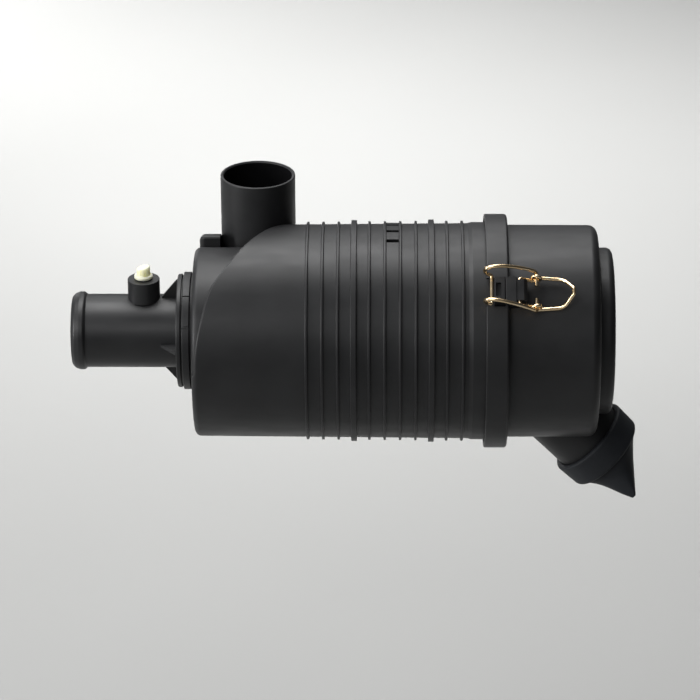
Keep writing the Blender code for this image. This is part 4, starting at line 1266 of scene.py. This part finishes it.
def make_safety():
    """The inner element: two caps, pleats round one liner."""
    ends = SAFETY_START_X, SAFETY_END_X
    cap = plain_tube(
        "safety_sealing_cap", SAFETY_BORE, SAFETY_RADIUS, -130 * MM, -116 * MM, 0.8 * MM
    )
    finish_piece(cap, URETHANE, "safety_element", "urethane", "safety_seal_cap")
    end_cap = revolved(
        "safety_closed_cap",
        [(100 * MM, SAFETY_RADIUS, 1.5 * MM), (92 * MM, SAFETY_RADIUS, 0.6 * MM)],
        MEDIUM,
    )
    finish_piece(end_cap, URETHANE, "safety_element", "urethane", "safety_end_cap")
    media = pleated("safety_pleats", 48, 16.4 * MM, 21.4 * MM, *ends, 0.4 * MM)
    finish_piece(media, PAPER, "safety_element", "filter_paper", "safety_media", sharp=60.0)
    liner = perforated("safety_tube", SAFETY_BORE, 15.4 * MM, *ends, 24)
    finish_piece(liner, ZINC, "safety_element", "liner_steel", "safety_liner")


make_housing()
make_outlet()
make_plug()
make_cover()
make_rings()
make_valve()
make_latches()
make_primary()
make_safety()


# ---------- floor and light

def make_floor():
    """A wide pale floor below the housing."""
    low = cad_box[0].z - FLOOR_DROP
    shape = bmesh.new()
    bmesh.ops.create_grid(shape, x_segments=1, y_segments=1, size=5.0)
    bmesh.ops.translate(shape, vec=(0.0, 2.0, low), verts=shape.verts)
    floor = solid("studio_floor", shape)
    material, shader, where = node_material("pale_floor", (0.36, 0.36, 0.353), 0.8)
    shader.inputs["Specular IOR Level"].default_value = 0.1
    tone = noise_value(material, where, 1.6, 2.0)
    vary_socket(material, "Base Color", tone, (0.35, 0.35, 0.343), (0.37, 0.37, 0.363))
    floor.data.materials.append(material)


def add_softbox(name, place, aim, size, power, spread=180.0):
    """A rectangular light at one place, turned towards another."""
    data = bpy.data.lights.new(name, "AREA")
    data.shape = "RECTANGLE"
    data.size, data.size_y = size
    data.energy = power
    data.spread = math.radians(spread)
    lamp = new_object(name, data)
    lamp.location = place
    direction = Vector(aim) - Vector(place)
    lamp.rotation_euler = direction.to_track_quat("-Z", "Y").to_euler()


def make_world():
    """Dim surroundings: paler at the outlet's side, dark at the cover's."""
    world = bpy.data.worlds.new("studio")
    bpy.context.scene.world = world
    world.use_nodes = True
    nodes, links = world.node_tree.nodes, world.node_tree.links
    where = nodes.new("ShaderNodeTexCoord")
    parts = nodes.new("ShaderNodeSeparateXYZ")
    strength = nodes.new("ShaderNodeMapRange")
    set_inputs(strength, {"From Min": -1.0, "From Max": 0.8, "To Min": 0.42, "To Max": 0.03})
    background = nodes["Background"]
    background.inputs["Color"].default_value = (0.95, 0.97, 1.0, 1.0)
    links.new(where.outputs["Generated"], parts.inputs["Vector"])
    links.new(parts.outputs["X"], strength.inputs["Value"])
    links.new(strength.outputs["Result"], background.inputs["Strength"])


def make_light():
    make_world()
    add_softbox("key", (-0.28, 0.34, 1.25), (-0.05, 0.0, 0.0), (1.3, 0.75), 20.0)
    add_softbox("fill", (-0.85, -1.5, 1.05), (-0.05, 0.0, 0.0), (1.3, 0.8), 10.5)
    add_softbox("side", (-1.6, -0.55, 0.35), (-0.15, -0.05, 0.0), (0.4, 0.8), 15.0)
    add_softbox("floor_wash", (0.0, 1.45, 0.75), (-0.05, 1.25, -0.4), (1.1, 1.0), 11.5, 110.0)
    add_softbox("corner_wash", (-1.0, 2.1, 0.3), (-0.6, 1.8, -0.4), (0.6, 0.6), 9.0, 120.0)


def make_camera():
    """The camera looks down by 25 degrees from the front, from far away."""
    data = bpy.data.cameras.new("camera")
    data.lens = 185.0
    data.sensor_width = 36.0
    camera = new_object("camera", data)
    down = math.radians(25.0)
    aim = Vector((-0.0294, -0.0057, -0.0122))
    place = aim - 2.49 * Vector((0.0, math.cos(down), -math.sin(down)))
    place.x = -0.002
    turn = (aim - place).to_track_quat("-Z", "Y").to_matrix().to_4x4()
    roll = Matrix.Rotation(math.radians(-0.24), 4, "Z")
    camera.matrix_world = Matrix.Translation(place) @ turn @ roll
    bpy.context.scene.camera = camera


make_floor()
make_light()
make_camera()
bpy.context.scene.view_settings.view_transform = "Standard"
